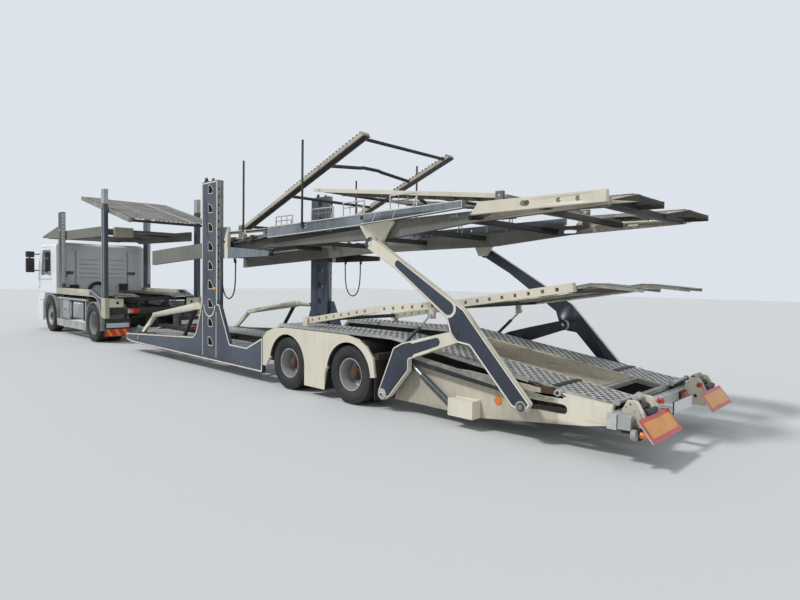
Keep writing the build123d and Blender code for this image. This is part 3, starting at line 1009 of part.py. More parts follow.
def upper_deck_frame():
    """Side beams, front extension beams, inner beams, cross-members, hanging brackets and pivot pins."""
    x0 = X_AXLE_4
    dark = side_plate([(x0 + 1980, 2270), (x0 + 1980, 2440), (x0 - 1780, 2540), (x0 - 1780, 2450),
                       (x0 - 200, 2350)],
                      UPPER_BEAM_IN, UPPER_BEAM_OUT)
    rear = side_plate([(x0 - 1900, 2370), (x0 - 1990, 2500), (x0 - 3400, 2500), (x0 - 3400, 2390)],
                      UPPER_BEAM_IN, UPPER_BEAM_OUT)
    inner = side_plate([(x0 + 6400, 1880), (x0 + 6400, 2170), (x0 + 4000, 2260), (x0 + 2000, 2330),
                        (x0 - 1800, 2420),
                        (x0 - 3380, 2420), (x0 - 3380, 2370), (x0 - 1900, 2300), (x0 - 700,
                                                                                  2180), (x0 + 2000, 2130),
                        (x0 + 4000, 2010)], INNER_BEAM_IN, INNER_BEAM_OUT)
    inner = inner - [oblong(x0 - 1900, 2345, 220, 52, INNER_BEAM_IN, INNER_BEAM_OUT),
                     oblong(x0 - 2750, 2385, 160, 34, INNER_BEAM_IN, INNER_BEAM_OUT)]
    rear = rear - [oblong(x0 - 2560, 2440, 110, 62, UPPER_BEAM_IN, UPPER_BEAM_OUT),
                   cross_rod(x0 - 2930, 2440, 26, UPPER_BEAM_IN - 5, UPPER_BEAM_OUT + 5),
                   cross_rod(x0 - 3130, 2440, 26, UPPER_BEAM_IN - 5, UPPER_BEAM_OUT + 5)]
    dark = dark - [cross_rod(x0 + 1030, 2400, 16, UPPER_BEAM_IN - 5, UPPER_BEAM_OUT + 5),
                   oblong(x0 - 160, 2445, 50, 62, UPPER_BEAM_IN, UPPER_BEAM_OUT)]
    ties = [block(x0 + d - 40, x0 + d + 40, -INNER_BEAM_IN, INNER_BEAM_IN, z, z + 70)
            for d, z in ((1900, 2200), (700, 2240), (-500, 2270), (-1700, 2310),
                         (-2600, REAR_DECK_Z - DECK_SHEET - 70),
                         (-3320, REAR_DECK_Z - DECK_SHEET - 70))]
    front_under = [z - DECK_SHEET / math.cos(FRONT_DECK_SLOPE) for x, z in FRONT_DECK_LINE]
    for d in (6250, 5200, 3500):
        low, high = [front_under[0] + (FRONT_DECK_LINE[0][0] - x) * math.tan(FRONT_DECK_SLOPE)
                     for x in (x0 + d + 40, x0 + d - 40)]
        ties.append(side_plate([(x0 + d - 40, low - 70), (x0 + d + 40, low - 70), (x0 + d + 40, low),
                                (x0 + d - 40, high)], -INNER_BEAM_IN, INNER_BEAM_IN))
    links = [block(x0 + d - 50, x0 + d + 50, INNER_BEAM_OUT, UPPER_BEAM_IN, z, z + 50)
             for d, z in ((1800, 2280), (600, 2310), (-400, 2360), (-1600, 2360))]
    rear_links = [block(x0 + d - 50, x0 + d + 50, INNER_BEAM_OUT, UPPER_BEAM_IN, 2390,
                        2415) for d in (-2100, -3200)]
    hoops = [hoop(x0 + front, x0 + rear_end, top, x0) for front, rear_end, top in HOOPS]
    bracket = side_plate([(x0 - 120, 2340), (x0 - 250, 2180), (x0 - 320, 2040), (x0 - 460, 2040),
                          (x0 - 560, 2180),
                          (x0 - 710, 2350), (x0 - 700, 2385), (x0 - 130, 2360)], LINK_Y0, UPPER_BEAM_OUT - 5)
    pins = cross_rod(*DECK_PIVOT, DECK_PIN_R, INNER_BEAM_OUT - 5, POST_IN + 35)
    pad = block(DECK_PIVOT[0] - 90, DECK_PIVOT[0] + 90, INNER_BEAM_IN, INNER_BEAM_OUT, 2150, 2330)
    tilt_ear = block(TILT_PIVOT[0] - 45, TILT_PIVOT[0] + 45, EAR_IN, EAR_OUT, 2250, TILT_PIVOT[1] + 45)
    flap_ear = block(FLAP_PIVOT[0] - 45, FLAP_PIVOT[0] + 45, EAR_IN, EAR_OUT, 2380, FLAP_PIVOT[1] + 45)
    ears = [tilt_ear - cross_rod(*TILT_PIVOT, EAR_PIN_R + SEAT_GAP, EAR_IN - 5, EAR_OUT + 5),
            flap_ear - cross_rod(*FLAP_PIVOT, EAR_PIN_R + SEAT_GAP, EAR_IN - 5, EAR_OUT + 5)]
    parts = both_sides(joined(dark, inner, *links, *rear_links, rear, bracket - dark, pins, pad, *ears,
                              *hoops,
                              rear_roller()))
    return joined(*parts, *ties)


upper_frame = upper_deck_frame()
save("upper_deck_frame", upper_frame)
rear_deck = [track([(X_AXLE_4 - 2250, REAR_DECK_Z), (X_AXLE_4 - 3560, REAR_DECK_Z)], y0, y1,
                   thickness=DECK_SHEET,
                   slot_pitch=260)
             for y0, y1 in ((TRACK_IN, TRACK_OUT), (-TRACK_OUT, -TRACK_IN))]
front_deck = [track(FRONT_DECK_LINE, y0, y1, thickness=DECK_SHEET, slot_pitch=330)
              for y0, y1 in ((TRACK_IN, TRACK_OUT), (-TRACK_OUT, -TRACK_IN))]
save("upper_deck_tracks", *[t - upper_frame for t in rear_deck + front_deck])


# Carriages that hold the upper deck on the posts
def glands(route):
    """The two couplings that a hose hangs from, each on a small bracket that reaches up to the frame."""
    parts = []
    for x, z in (route[0], route[-1]):
        parts.append(upright(x, HOSE_Y, GLAND_R, z, z + 50))
        parts.append(block(x - 14, x + 14, HOSE_Y, POST_IN + 5, z + 12, z + 100))
    return joined(*parts)


carriage = joined(block(POST_REAR - 240, POST_REAR, POST_IN, POST_IN + 60, 1980, 2500),
                  side_plate([(POST_REAR - 150, 1970), (POST_REAR - 150, 2170), (X_AXLE_4 + 1950, 2070),
                              (X_AXLE_4 + 1950, 1990)], POST_IN, POST_IN + 60))
carriage = carriage - cross_rod(*DECK_PIVOT, DECK_PIN_R + SEAT_GAP, POST_IN - 5, POST_IN + 65)
left_frame = joined(trailer_side(), carriage)
save("trailer_side_frames", joined(left_frame, glands(HOSE_LEFT)),
     mirror(joined(left_frame, glands(HOSE_RIGHT)), about=Plane.XZ))


# Hydraulic hoses
def hose(name, route, y):
    """A hose along a route of straight runs and tangent arcs, with its radii printed."""
    points = [Vector(x, y, z) for x, z in route]
    radii = []
    for before, corner, after in zip(points, points[1:], points[2:]):
        turn = math.radians((corner - before).get_angle(after - corner))
        radii.append(0.45 * min((corner - before).length, (after - corner).length) / math.tan(turn / 2))
    path = Wire(FilletPolyline(*points, radius=radii))
    section = Plane(origin=points[0], z_dir=path % 0) * Circle(HOSE_R)
    body = sweep(section, path=path)
    print(name, "radii", [round(r) for r in radii], "length", round(path.length), "volume share",
          round(body.volume / (math.pi * HOSE_R ** 2 * path.length), 3))
    save(name, body)


hose("hose_left", HOSE_LEFT, HOSE_Y)
hose("hose_right", HOSE_RIGHT, -HOSE_Y)

# Rails, poles and wheel hoops on the upper deck
PIPE_Y = UPPER_BEAM_OUT - 35
POLE_Y = UPPER_BEAM_OUT + 20
rail_pipe = bar((X_AXLE_4 + 3150, PIPE_Y, 2400), (X_AXLE_4 + 1990, PIPE_Y, 2400), 28)
poles = [upright(X_AXLE_4 + d, POLE_Y, 16, 2380, top) for d, top in ((2650, 3540), (1080, 3630))]
pole_seat = block(X_AXLE_4 + 2620, X_AXLE_4 + 2680, PIPE_Y, POLE_Y, 2370, 2410)
pipe_seat = block(X_AXLE_4 + 1980, X_AXLE_4 + 2030, PIPE_Y - 20, PIPE_Y + 25, 2370, 2430)
rear_pole_seat = block(X_AXLE_4 + 1050, X_AXLE_4 + 1110, UPPER_BEAM_OUT, POLE_Y, 2380, 2460)
save("upper_deck_rails", *both_sides(joined(rail_pipe, poles[0], pole_seat, pipe_seat)),
     *both_sides(joined(poles[1], rear_pole_seat)))


def bent_tube(x, z, radius, rise):
    """A cross tube between two rails, cranked upwards over its middle."""
    inner, outer = 170, TRACK_IN + 5
    tubes = [bar((x, s * outer, z), (x, s * inner, z + rise), radius) for s in (1, -1)]
    middle = bar((x, inner, z + rise), (x, -inner, z + rise), radius)
    knees = [Pos(x, s * inner, z + rise) * Sphere(radius) for s in (1, -1)]
    return joined(*tubes, middle, *knees)


def deck_rails(pivot, length, direction):
    """Two tracks joined by cross tubes, flat, from a pivot forwards or rearwards."""
    x, z = pivot
    far = x + direction * length
    tracks = [track(sorted([(x, z + 25), (far, z + 25)], reverse=True), y0, y1, thickness=50, slot_pitch=330)
              for y0, y1 in ((TRACK_IN, TRACK_OUT), (-TRACK_OUT, -TRACK_IN))]
    crossings = [cross_rod(x + direction * share * length, z, 24, -TRACK_IN - 5, TRACK_IN + 5)
                 for share in (0.02, 0.4, 0.97)]
    bent_x = x + direction * 0.72 * length
    crossings.append(bent_tube(bent_x, z, 26, 90))
    pins = both_sides(cross_rod(x, z, EAR_PIN_R, TRACK_OUT - 40, EAR_OUT - 2))
    bosses = both_sides(cross_rod(x, z, 25, TRACK_OUT - 60, TRACK_OUT))
    return joined(*tracks, *crossings, *bosses, *pins)


tilt_rails = turned(deck_rails(TILT_PIVOT, TILT_LENGTH, -1), TILT_PIVOT, TILT_ANGLE)
save("tilt_tracks", tilt_rails)
flap_rails = turned(deck_rails(FLAP_PIVOT, FLAP_LENGTH, 1), FLAP_PIVOT, -FLAP_ANGLE)
save("flap_tracks", flap_rails)

# Middle deck
MIDDLE_LINE = [(MIDDLE_PIVOT[0] + 30, MIDDLE_PIVOT[1] + 20), (X_AXLE_4 - 180, 1300), (X_AXLE_4 - 1500, 1425),
               (X_AXLE_4 - 2970, 1650)]
RAIL_HOLE = 38
RAIL_HOLE_PITCH = 165


def rail_holes():
    """Square holes right through the middle deck's side rail, a row along each of its straight runs."""
    cutters = []
    for (xa, za), (xb, zb) in zip(MIDDLE_LINE, MIDDLE_LINE[1:]):
        run = math.hypot(xb - xa, zb - za)
        slope = math.degrees(math.atan2(zb - za, xb - xa))
        for i in range(1, int(run // RAIL_HOLE_PITCH)):
            along = i * RAIL_HOLE_PITCH
            x, z = xa + (xb - xa) * along / run, za + (zb - za) * along / run - 46
            if math.dist((x, z), MIDDLE_RAM_EYE) > 120:
                cutters.append(Pos(x, MIDDLE_OUT - MIDDLE_RAIL_W / 2, z) * Rot(0, -slope, 0)
                               * Box(RAIL_HOLE, MIDDLE_RAIL_W + 10, RAIL_HOLE))
    return cutters


middle_rail = track(MIDDLE_LINE, MIDDLE_OUT - MIDDLE_RAIL_W, MIDDLE_OUT, thickness=90) - rail_holes()
middle_track = track([(x, z - 30) for x, z in MIDDLE_LINE[1:]] + [(X_AXLE_4 - 3120, 1650),
                                                                  (X_AXLE_4 - 3640, 1605)],
                     TRACK_IN, MIDDLE_OUT - MIDDLE_RAIL_W, thickness=36, slot_pitch=330, slot_wide=260)
tie_reach = MIDDLE_OUT - 55
middle_ties = [cross_rod(x, z, 30, -tie_reach, tie_reach) for x,
               z in ((MIDDLE_PIVOT[0] - 60, MIDDLE_PIVOT[1] - 5),
                                                           (X_AXLE_4 - 1480, 1360), (X_AXLE_4 - 2800, 1570))]
middle_pins = both_sides(cross_rod(*MIDDLE_PIVOT, EAR_PIN_R, MIDDLE_OUT - 30, TRACK_OUT - 2))
middle_hub = both_sides(cross_rod(*MIDDLE_PIVOT, 40, MIDDLE_OUT - MIDDLE_RAIL_W, MIDDLE_OUT))
LUG_OUT = MIDDLE_RAM_Y - MIDDLE_RAM_R - 6
middle_lug = both_sides(block(MIDDLE_RAM_EYE[0] - 34, MIDDLE_RAM_EYE[0] + 34, MIDDLE_OUT - 20, LUG_OUT,
                              MIDDLE_RAM_EYE[1] - 34, 1330))
save("middle_deck", joined(*both_sides(middle_rail), *both_sides(middle_track), *middle_ties, *middle_hub,
                           *middle_pins,
                           *middle_lug))
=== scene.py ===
# %% [markdown]
# # A car transporter truck
#
# The object is an articulated car transporter: a truck with a loading frame over its cab, hinged low down to
# a trailing section with three decks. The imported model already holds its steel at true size. This script
# dresses it: paint and galvanising on what is there, and new surfaces for what a solid model leaves plain,
# such as the pierced wheel tracks, the tyres' tread, the cream lines along the plates' edges and the
# fittings.

# %% Load the frame
import math

import bmesh
import bpy
import numpy as np
from mathutils import Matrix, Vector
from mathutils.geometry import tessellate_polygon


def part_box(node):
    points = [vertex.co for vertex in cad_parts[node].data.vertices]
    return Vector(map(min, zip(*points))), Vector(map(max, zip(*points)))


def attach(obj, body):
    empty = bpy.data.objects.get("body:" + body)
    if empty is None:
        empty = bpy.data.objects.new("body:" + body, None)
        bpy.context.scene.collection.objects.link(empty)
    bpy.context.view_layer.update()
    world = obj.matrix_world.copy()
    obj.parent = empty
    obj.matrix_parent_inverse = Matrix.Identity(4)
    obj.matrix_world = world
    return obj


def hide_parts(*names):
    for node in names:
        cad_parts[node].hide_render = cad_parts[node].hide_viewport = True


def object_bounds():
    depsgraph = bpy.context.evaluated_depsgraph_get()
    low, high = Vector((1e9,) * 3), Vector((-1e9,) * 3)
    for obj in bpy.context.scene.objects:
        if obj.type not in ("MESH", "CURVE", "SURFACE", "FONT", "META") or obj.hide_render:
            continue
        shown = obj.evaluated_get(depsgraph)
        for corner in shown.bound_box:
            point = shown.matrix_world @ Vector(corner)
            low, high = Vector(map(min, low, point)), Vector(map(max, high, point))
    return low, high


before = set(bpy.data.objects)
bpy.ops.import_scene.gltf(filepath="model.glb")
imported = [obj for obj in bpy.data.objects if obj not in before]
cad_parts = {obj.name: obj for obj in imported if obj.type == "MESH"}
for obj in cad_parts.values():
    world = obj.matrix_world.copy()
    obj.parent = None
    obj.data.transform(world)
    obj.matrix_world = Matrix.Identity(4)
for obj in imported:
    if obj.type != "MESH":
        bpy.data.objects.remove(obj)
cad_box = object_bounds()

# %% [markdown]
# ## Places that everything shares
#
# Most of the trailer was measured from its rear axle, so places along it are written as a distance ahead of
# that axle. Reading them back from the frame keeps this script true when the frame changes.

# %% Key places
def middle_x(node):
    """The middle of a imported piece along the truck."""
    low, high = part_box(node)
    return float((low[0] + high[0]) / 2)


def left_face(node):
    """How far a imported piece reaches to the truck's left."""
    return float(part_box(node)[1][1])


REAR_AXLE_X = middle_x("axle4_tyres_left")
FRONT_AXLE_X = middle_x("axle3_tyres_left")
DRIVE_AXLE_X = middle_x("drive_tyres_left")
STEER_AXLE_X = middle_x("steer_tyre_left")
TRAILER_TYRE_R = float(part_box("axle4_tyres_left")[1][2] / 2)
TRUCK_TYRE_R = float(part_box("drive_tyres_left")[1][2] / 2)
HALF_WIDTH = left_face("trailer_mudguards")
print("rear axle at x", round(REAR_AXLE_X, 3), "half width", round(HALF_WIDTH, 3))


def on_trailer(points):
    """Points given as distance ahead of the rear axle and height, as an array of x and z."""
    return np.array([(REAR_AXLE_X + x, z) for x, z in points])


# %% [markdown]
# ## Camera
#
# The photographer stood behind the left rear corner at eye level, with a wide phone lens. A camera in Blender
# looks along its own -Z, so its turn is built from three angles: the heading between the truck's length and
# the view, a slight tilt down, and a slight roll. The focal length follows from the photograph's width.

# %% Set the camera
PHOTO_WIDTH = 800
FOCAL_PIXELS = 570.1
CAMERA_PLACE = (-10.916, 6.213, 1.6625)
HEADING = math.radians(46.508)
TILT_DOWN = math.radians(2.11)
ROLL = math.radians(0.84)


def placed(name, data):
    """Puts data into the scene as an object that sits at the origin."""
    made = bpy.data.objects.new(name, data)
    bpy.context.scene.collection.objects.link(made)
    return made


camera_data = bpy.data.cameras.new("photo_camera")
camera_data.sensor_width = 36.0
camera_data.lens = FOCAL_PIXELS / PHOTO_WIDTH * camera_data.sensor_width
camera_data.clip_end = 200.0
camera = placed("photo_camera", camera_data)
camera.location = CAMERA_PLACE
camera.rotation_mode = "QUATERNION"
sight = Vector((math.cos(HEADING), -math.sin(HEADING), -math.tan(TILT_DOWN))).normalized()
turn = sight.to_track_quat("-Z", "Y").to_matrix() @ Matrix.Rotation(ROLL, 3, "Z")
camera.rotation_quaternion = turn.to_quaternion()
bpy.context.scene.camera = camera
print("lens", round(camera_data.lens, 2), "mm")

# %% [markdown]
# ## Floor and light
#
# A plain pale floor and a broad soft sun keep the colours as they are written. The sky behind is a pale grey
# that the camera, mirrors and glass see, while the light it sheds is set apart from that.

# %% Colours and nodes
def linear(code):
    """A colour written as sRGB hex, as the linear values that shaders use."""
    channels = np.array([int(code[i:i + 2], 16) for i in (1, 3, 5)]) / 255
    low, high = channels / 12.92, ((channels + 0.055) / 1.055) ** 2.4
    return (*np.where(channels <= 0.04045, low, high).tolist(), 1.0)


def add(tree, kind, links=(), output=0, **settings):
    """Adds one shader node, sets its properties and sockets by name, feeds (socket, source or value) pairs,
    and gives back one of its outputs."""
    node = tree.nodes.new("ShaderNode" + kind)
    for key, value in settings.items():
        if hasattr(node, key):
            setattr(node, key, value)
        else:
            node.inputs[key.replace("_", " ")].default_value = value
    for socket, source in links:
        if isinstance(source, bpy.types.NodeSocket):
            tree.links.new(source, node.inputs[socket])
        else:
            node.inputs[socket].default_value = source
    return node.outputs[output] if node.outputs else None


def blank(name):
    """A new material, its node tree and the sockets of its shader."""
    material = bpy.data.materials.new(name)
    material.use_nodes = True
    return material, material.node_tree, material.node_tree.nodes["Principled BSDF"].inputs


# %% Stage and lamps
bpy.context.scene.view_settings.view_transform = "Standard"
world = bpy.data.worlds.new("pale_sky")
bpy.context.scene.world = world
world.use_nodes = True
sky = world.node_tree
sky.nodes.clear()
rays = add(sky, "LightPath").node.outputs
seen = add(sky, "Math", [(0, rays["Is Camera Ray"]), (1, rays["Is Glossy Ray"])], operation="MAXIMUM")
seen = add(sky, "Math", [(0, seen), (1, rays["Is Transmission Ray"])], operation="MAXIMUM")
shed = add(sky, "Background", Color=linear("#E9EEF5"), Strength=0.62)
shown = add(sky, "Background", Color=linear("#DDE3EA"), Strength=1.0)
either = add(sky, "MixShader", [(0, seen), (1, shed), (2, shown)])
add(sky, "OutputWorld", [("Surface", either)])

for name, energy, angle, toward in (("key_sun", 2.1, 8, (-0.25, -0.62, -0.74)),
                                    ("fill_sun", 0.35, 60, (0.8, -0.2, -0.5))):
    light = bpy.data.lights.new(name, "SUN")
    light.energy = energy
    light.angle = math.radians(angle)
    lamp = placed(name, light)
    lamp.rotation_mode = "QUATERNION"
    lamp.rotation_quaternion = Vector(toward).to_track_quat("-Z", "Y")

floor_mesh = bpy.data.meshes.new("floor")
floor_mesh.from_pydata([(-60, -60, 0), (60, -60, 0), (60, 60, 0), (-60, 60, 0)], [], [(0, 1, 2, 3)])
floor = placed("floor", floor_mesh)
floor_paint, _, floor_shader = blank("pale_floor")
floor_shader["Base Color"].default_value = linear("#C9CBCB")
floor_shader["Roughness"].default_value = 0.9
floor_mesh.materials.append(floor_paint)
print("floor and two suns")

# %% [markdown]
# ## Weathered enamel
#
# Nearly everything here is steel sprayed with enamel. Enamel fades in broad patches, rain draws grime down it
# in streaks, stones chip it, and rust shows where the steel lies bare. One recipe with the amounts as
# arguments gives the navy, cream and white paints, so they age in the same way but by different amounts.

# %% The enamel recipe
def enamel(name, colour, faded, grime, rust=0.0, dirt=0.35, roughness=0.38):
    """Paint on steel. The colours are sRGB hex; rust and dirt are the shares of the surface."""
    material, tree, shader = blank(name)
    place = add(tree, "TexCoord", output="Object")
    patches = add(tree, "TexNoise", [("Vector", place)], Scale=1.1, Detail=4.0)
    fading = add(tree, "MapRange", [("Value", patches)], From_Min=0.38, From_Max=0.66)
    paint = add(tree, "Mix", [(0, fading), (6, linear(colour)), (7, linear(faded))], 2, data_type="RGBA")
    drawn = add(tree, "Mapping", [("Vector", place)], Scale=(7.0, 7.0, 1.6))
    streaks = add(tree, "TexNoise", [("Vector", drawn)], Scale=2.2, Detail=5.0)
    smear = add(tree, "MapRange", [("Value", streaks)], From_Min=0.46, From_Max=0.74, To_Max=dirt)
    dirty = add(tree, "Mix", [(0, smear), (6, paint), (7, linear(grime))], 2, data_type="RGBA")
    spots = add(tree, "TexNoise", [("Vector", place)], Scale=11.0, Detail=8.0, Roughness=0.62)
    edge = 0.74 - 0.3 * rust
    rusting = add(tree, "MapRange", [("Value", spots)],
                  From_Min=edge, From_Max=edge + 0.05, To_Max=0.9 if rust else 0.0)
    finish = add(tree, "Mix", [(0, rusting), (6, dirty), (7, linear("#6E4127"))], 2, data_type="RGBA")
    dulled = add(tree, "MapRange", [("Value", streaks)], To_Min=roughness - 0.1, To_Max=roughness + 0.3)
    ripple = add(tree, "TexNoise", [("Vector", place)], Scale=60.0, Detail=3.0)
    bump = add(tree, "Bump", [("Height", ripple)], Strength=0.06, Distance=0.003)
    tree.links.new(finish, shader["Base Color"])
    tree.links.new(dulled, shader["Roughness"])
    tree.links.new(bump, shader["Normal"])
    return material


NAVY = enamel("navy_enamel", "#333C4C", "#434D5C", "#565349", dirt=0.3, roughness=0.3)
NAVY_DEEP = enamel("navy_enamel_deep", "#272E3D", "#323A4B", "#4A4840", dirt=0.25, roughness=0.28)
# A lighter navy: a painted reflection of the sky on the glossy navy beams and posts.
NAVY_SKY_SHEEN = enamel("navy_enamel_sky_sheen", "#5C646B", "#7E868B", "#3C4048", dirt=0.5, roughness=0.32)
CREAM = enamel("cream_enamel", "#D8D2C0", "#CBC4B0", "#8E8570", rust=0.06, dirt=0.16, roughness=0.42)
CREAM_GRIMY = enamel("cream_enamel_grimy", "#B9B2A0", "#A39D8D", "#5F5849", rust=0.18, dirt=0.20,
                     roughness=0.55)
DUSTY_GREY = enamel("dusty_grey_enamel", "#75736C", "#68665F", "#454139", dirt=0.22, roughness=0.6)
EDGE_LINE = enamel("edge_line_enamel", "#DDD9C9", "#CFC9B6", "#8F8872", roughness=0.4)
WHITE = enamel("white_cab_lacquer", "#E0E3E4", "#D6D9DA", "#9A968B", dirt=0.12, roughness=0.22)
BLACK = enamel("chassis_black_enamel", "#1B1C1E", "#2C2B29", "#4E473C", dirt=0.6, roughness=0.5)
RAM_GREY = enamel("ram_grey_enamel", "#46525A", "#3A444B", "#23272A", dirt=0.5, roughness=0.35)
print("enamels", [m.name for m in bpy.data.materials if "enamel" in m.name or "lacquer" in m.name])

# %% [markdown]
# ## Galvanised steel
#
# The wheel tracks are dipped in zinc after they are pierced. Zinc freezes in spangles a few centimetres
# across, which catch the light at different angles; tyres then polish the ridges and leave brown dust between
# them. Voronoi cells stand for the spangles.

# %% Galvanised and bare metals
def bare_metal(name, light, dark, dust="#5C5446", dusty=0.4, metallic=0.35, roughness=0.45, grain=28.0):
    """Zinc, alloy or bare steel: cells of two greys under patchy dust; the grain is cells per metre."""
    material, tree, shader = blank(name)
    place = add(tree, "TexCoord", output="Object")
    cells = add(tree, "TexVoronoi", [("Vector", place)], "Color", Scale=grain)
    flake = add(tree, "SeparateColor", [(0, cells)])
    zinc = add(tree, "Mix", [(0, flake), (6, linear(dark)), (7, linear(light))], 2, data_type="RGBA")
    cloud = add(tree, "TexNoise", [("Vector", place)], Scale=2.6, Detail=6.0, Roughness=0.6)
    share = add(tree, "MapRange", [("Value", cloud)], From_Min=0.40, From_Max=0.72, To_Max=dusty)
    coat = add(tree, "Mix", [(0, share), (6, zinc), (7, linear(dust))], 2, data_type="RGBA")
    rough = add(tree, "MapRange", [("Value", cloud)], To_Min=roughness - 0.12, To_Max=roughness + 0.3)
    tree.links.new(coat, shader["Base Color"])
    tree.links.new(rough, shader["Roughness"])
    shader["Metallic"].default_value = metallic
    return material


GALVANISED = bare_metal("galvanised_steel", "#CDCECB", "#B2B4B1", dusty=0.3)
GALVANISED_DARK = bare_metal("galvanised_steel_grimy", "#A5A49D", "#86857E", "#5A5243", dusty=0.6)
RIM_SILVER = bare_metal("silver_rim_enamel", "#B2B5B7", "#A3A6A8", "#6A5B48", dusty=0.45, roughness=0.4,
                        grain=3.0)
ALLOY = bare_metal("brushed_alloy_sheet", "#B9BCBE", "#A2A5A8", dusty=0.2, metallic=0.8, roughness=0.35,
                   grain=2.0)
CHROME = bare_metal("ground_chrome_rod", "#D0D2D4", "#C4C7CA", dusty=0.05, metallic=1.0, roughness=0.16,
                    grain=2.0)
RUSTY = bare_metal("rusted_steel", "#63432F", "#46342A", "#2E2620", dusty=0.6, metallic=0.1, roughness=0.75,
                   grain=60.0)
IRON = bare_metal("cast_iron_oily", "#3A3733", "#262422", "#4A4136", dusty=0.6, metallic=0.2, roughness=0.65)
TREAD_PLATE = bare_metal("beige_tread_plate", "#B5AB95", "#A59B86", "#6A5E4A", dusty=0.5, metallic=0.25,
                         roughness=0.55)
print("enamels and metals", len(bpy.data.materials))

# %% [markdown]
# ## Rubber, plastics, lenses and glass
#
# Tyre rubber is near black but never quite: road dust greys it, most of all in the grooves. Moulded plastics
# carry a fine grain. Lenses are tinted acrylic over a bright reflector, so they are pale and clear-coated.

# %% Rubber, plastic, glass
def moulded(name, colour, worn, roughness=0.6, grain=220.0, coat=0.0):
    """A moulded rubber or plastic with a fine grain and lighter patches; the grain is cells per metre."""
    material, tree, shader = blank(name)
    place = add(tree, "TexCoord", output="Object")
    cloud = add(tree, "TexNoise", [("Vector", place)], Scale=3.5, Detail=6.0)
    wear = add(tree, "MapRange", [("Value", cloud)], From_Min=0.4, From_Max=0.7)
    tint = add(tree, "Mix", [(0, wear), (6, linear(colour)), (7, linear(worn))], 2, data_type="RGBA")
    pebble = add(tree, "TexNoise", [("Vector", place)], Scale=grain, Detail=2.0)
    bump = add(tree, "Bump", [("Height", pebble)], Strength=0.3, Distance=0.0006)
    tree.links.new(tint, shader["Base Color"])
    tree.links.new(bump, shader["Normal"])
    shader["Roughness"].default_value = roughness
    shader["Coat Weight"].default_value = coat
    return material


TYRE = moulded("tyre_rubber", "#1D1D1E", "#33312E", roughness=0.72, grain=120.0)
BLACK_PLASTIC = moulded("black_moulded_plastic", "#1C1D1F", "#2A2B2C", roughness=0.5)
GREY_PLASTIC = moulded("grey_moulded_plastic", "#A9ABA8", "#8E8F8A", roughness=0.55)
HOSE_RUBBER = moulded("hose_rubber", "#17181A", "#26272A", roughness=0.42, grain=400.0)
SEAT_CLOTH = moulded("seat_cloth", "#2A2D33", "#363A41", roughness=0.9, grain=900.0)
AMBER = moulded("amber_acrylic", "#E0791A", "#C96812", roughness=0.25, coat=0.6)
RED = moulded("red_acrylic", "#B3201C", "#8F1714", roughness=0.25, coat=0.6)
CLEAR_LENS = moulded("clear_polycarbonate", "#BFC6CB", "#AEB6BC", roughness=0.12, coat=1.0)
BOARD_RED = moulded("reflective_film_red", "#C8321F", "#A82A1C", roughness=0.35, coat=0.3)
BOARD_YELLOW = moulded("reflective_film_yellow", "#D88E22", "#C27A1C", roughness=0.35, coat=0.3)

GLASS, _, pane = blank("tinted_safety_glass")
pane["Base Color"].default_value = linear("#6E7C80")
pane["Transmission Weight"].default_value = 0.85
pane["Roughness"].default_value = 0.03
pane["IOR"].default_value = 1.45
print("materials", len(bpy.data.materials))

# %% [markdown]
# ## Finishing the frame's own pieces
#
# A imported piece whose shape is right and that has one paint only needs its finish. The table pairs each
# finish with the pieces sprayed, dipped or moulded in it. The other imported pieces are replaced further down.

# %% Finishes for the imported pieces
FINISHES = [
    (BLACK, ["truck_frame", "trailer_chassis"]),
    (IRON, ["truck_axles", "trailer_axles", "engine_block", "knuckle_left", "knuckle_right"]),
    (WHITE, ["cab_shell", "door_left", "door_right"]),
    (SEAT_CLOTH, ["cab_interior"]),
    (GLASS, ["windscreen", "door_glass_left", "door_glass_right"]),
    (CLEAR_LENS, ["head_lamps"]),
    (BLACK_PLASTIC, ["mirrors"]),
    (GREY_PLASTIC, ["truck_guards"]),
    (ALLOY, ["side_tanks"]),
    (DUSTY_GREY, ["cab_deck_frame"]),
    (RAM_GREY, ["ram_barrels", "middle_ram_barrels"]),
    (CHROME, ["ram_rods", "middle_ram_rods"]),
]
for material, names in FINISHES:
    for name in names:
        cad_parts[name].data.materials.clear()
        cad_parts[name].data.materials.append(material)
print("finished", sum(len(names) for _, names in FINISHES), "of", len(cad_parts))

# %% [markdown]
# ## Hydraulic hoses
#
# A rubber hose hangs beside each post in a loop, long enough to follow the upper deck as it rises. Each
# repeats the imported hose's route. A NURBS curve of the third order sweeps round its points without passing
# through them, as a stiff hose rounds a bend, and its bevel gives it the hose's thickness.

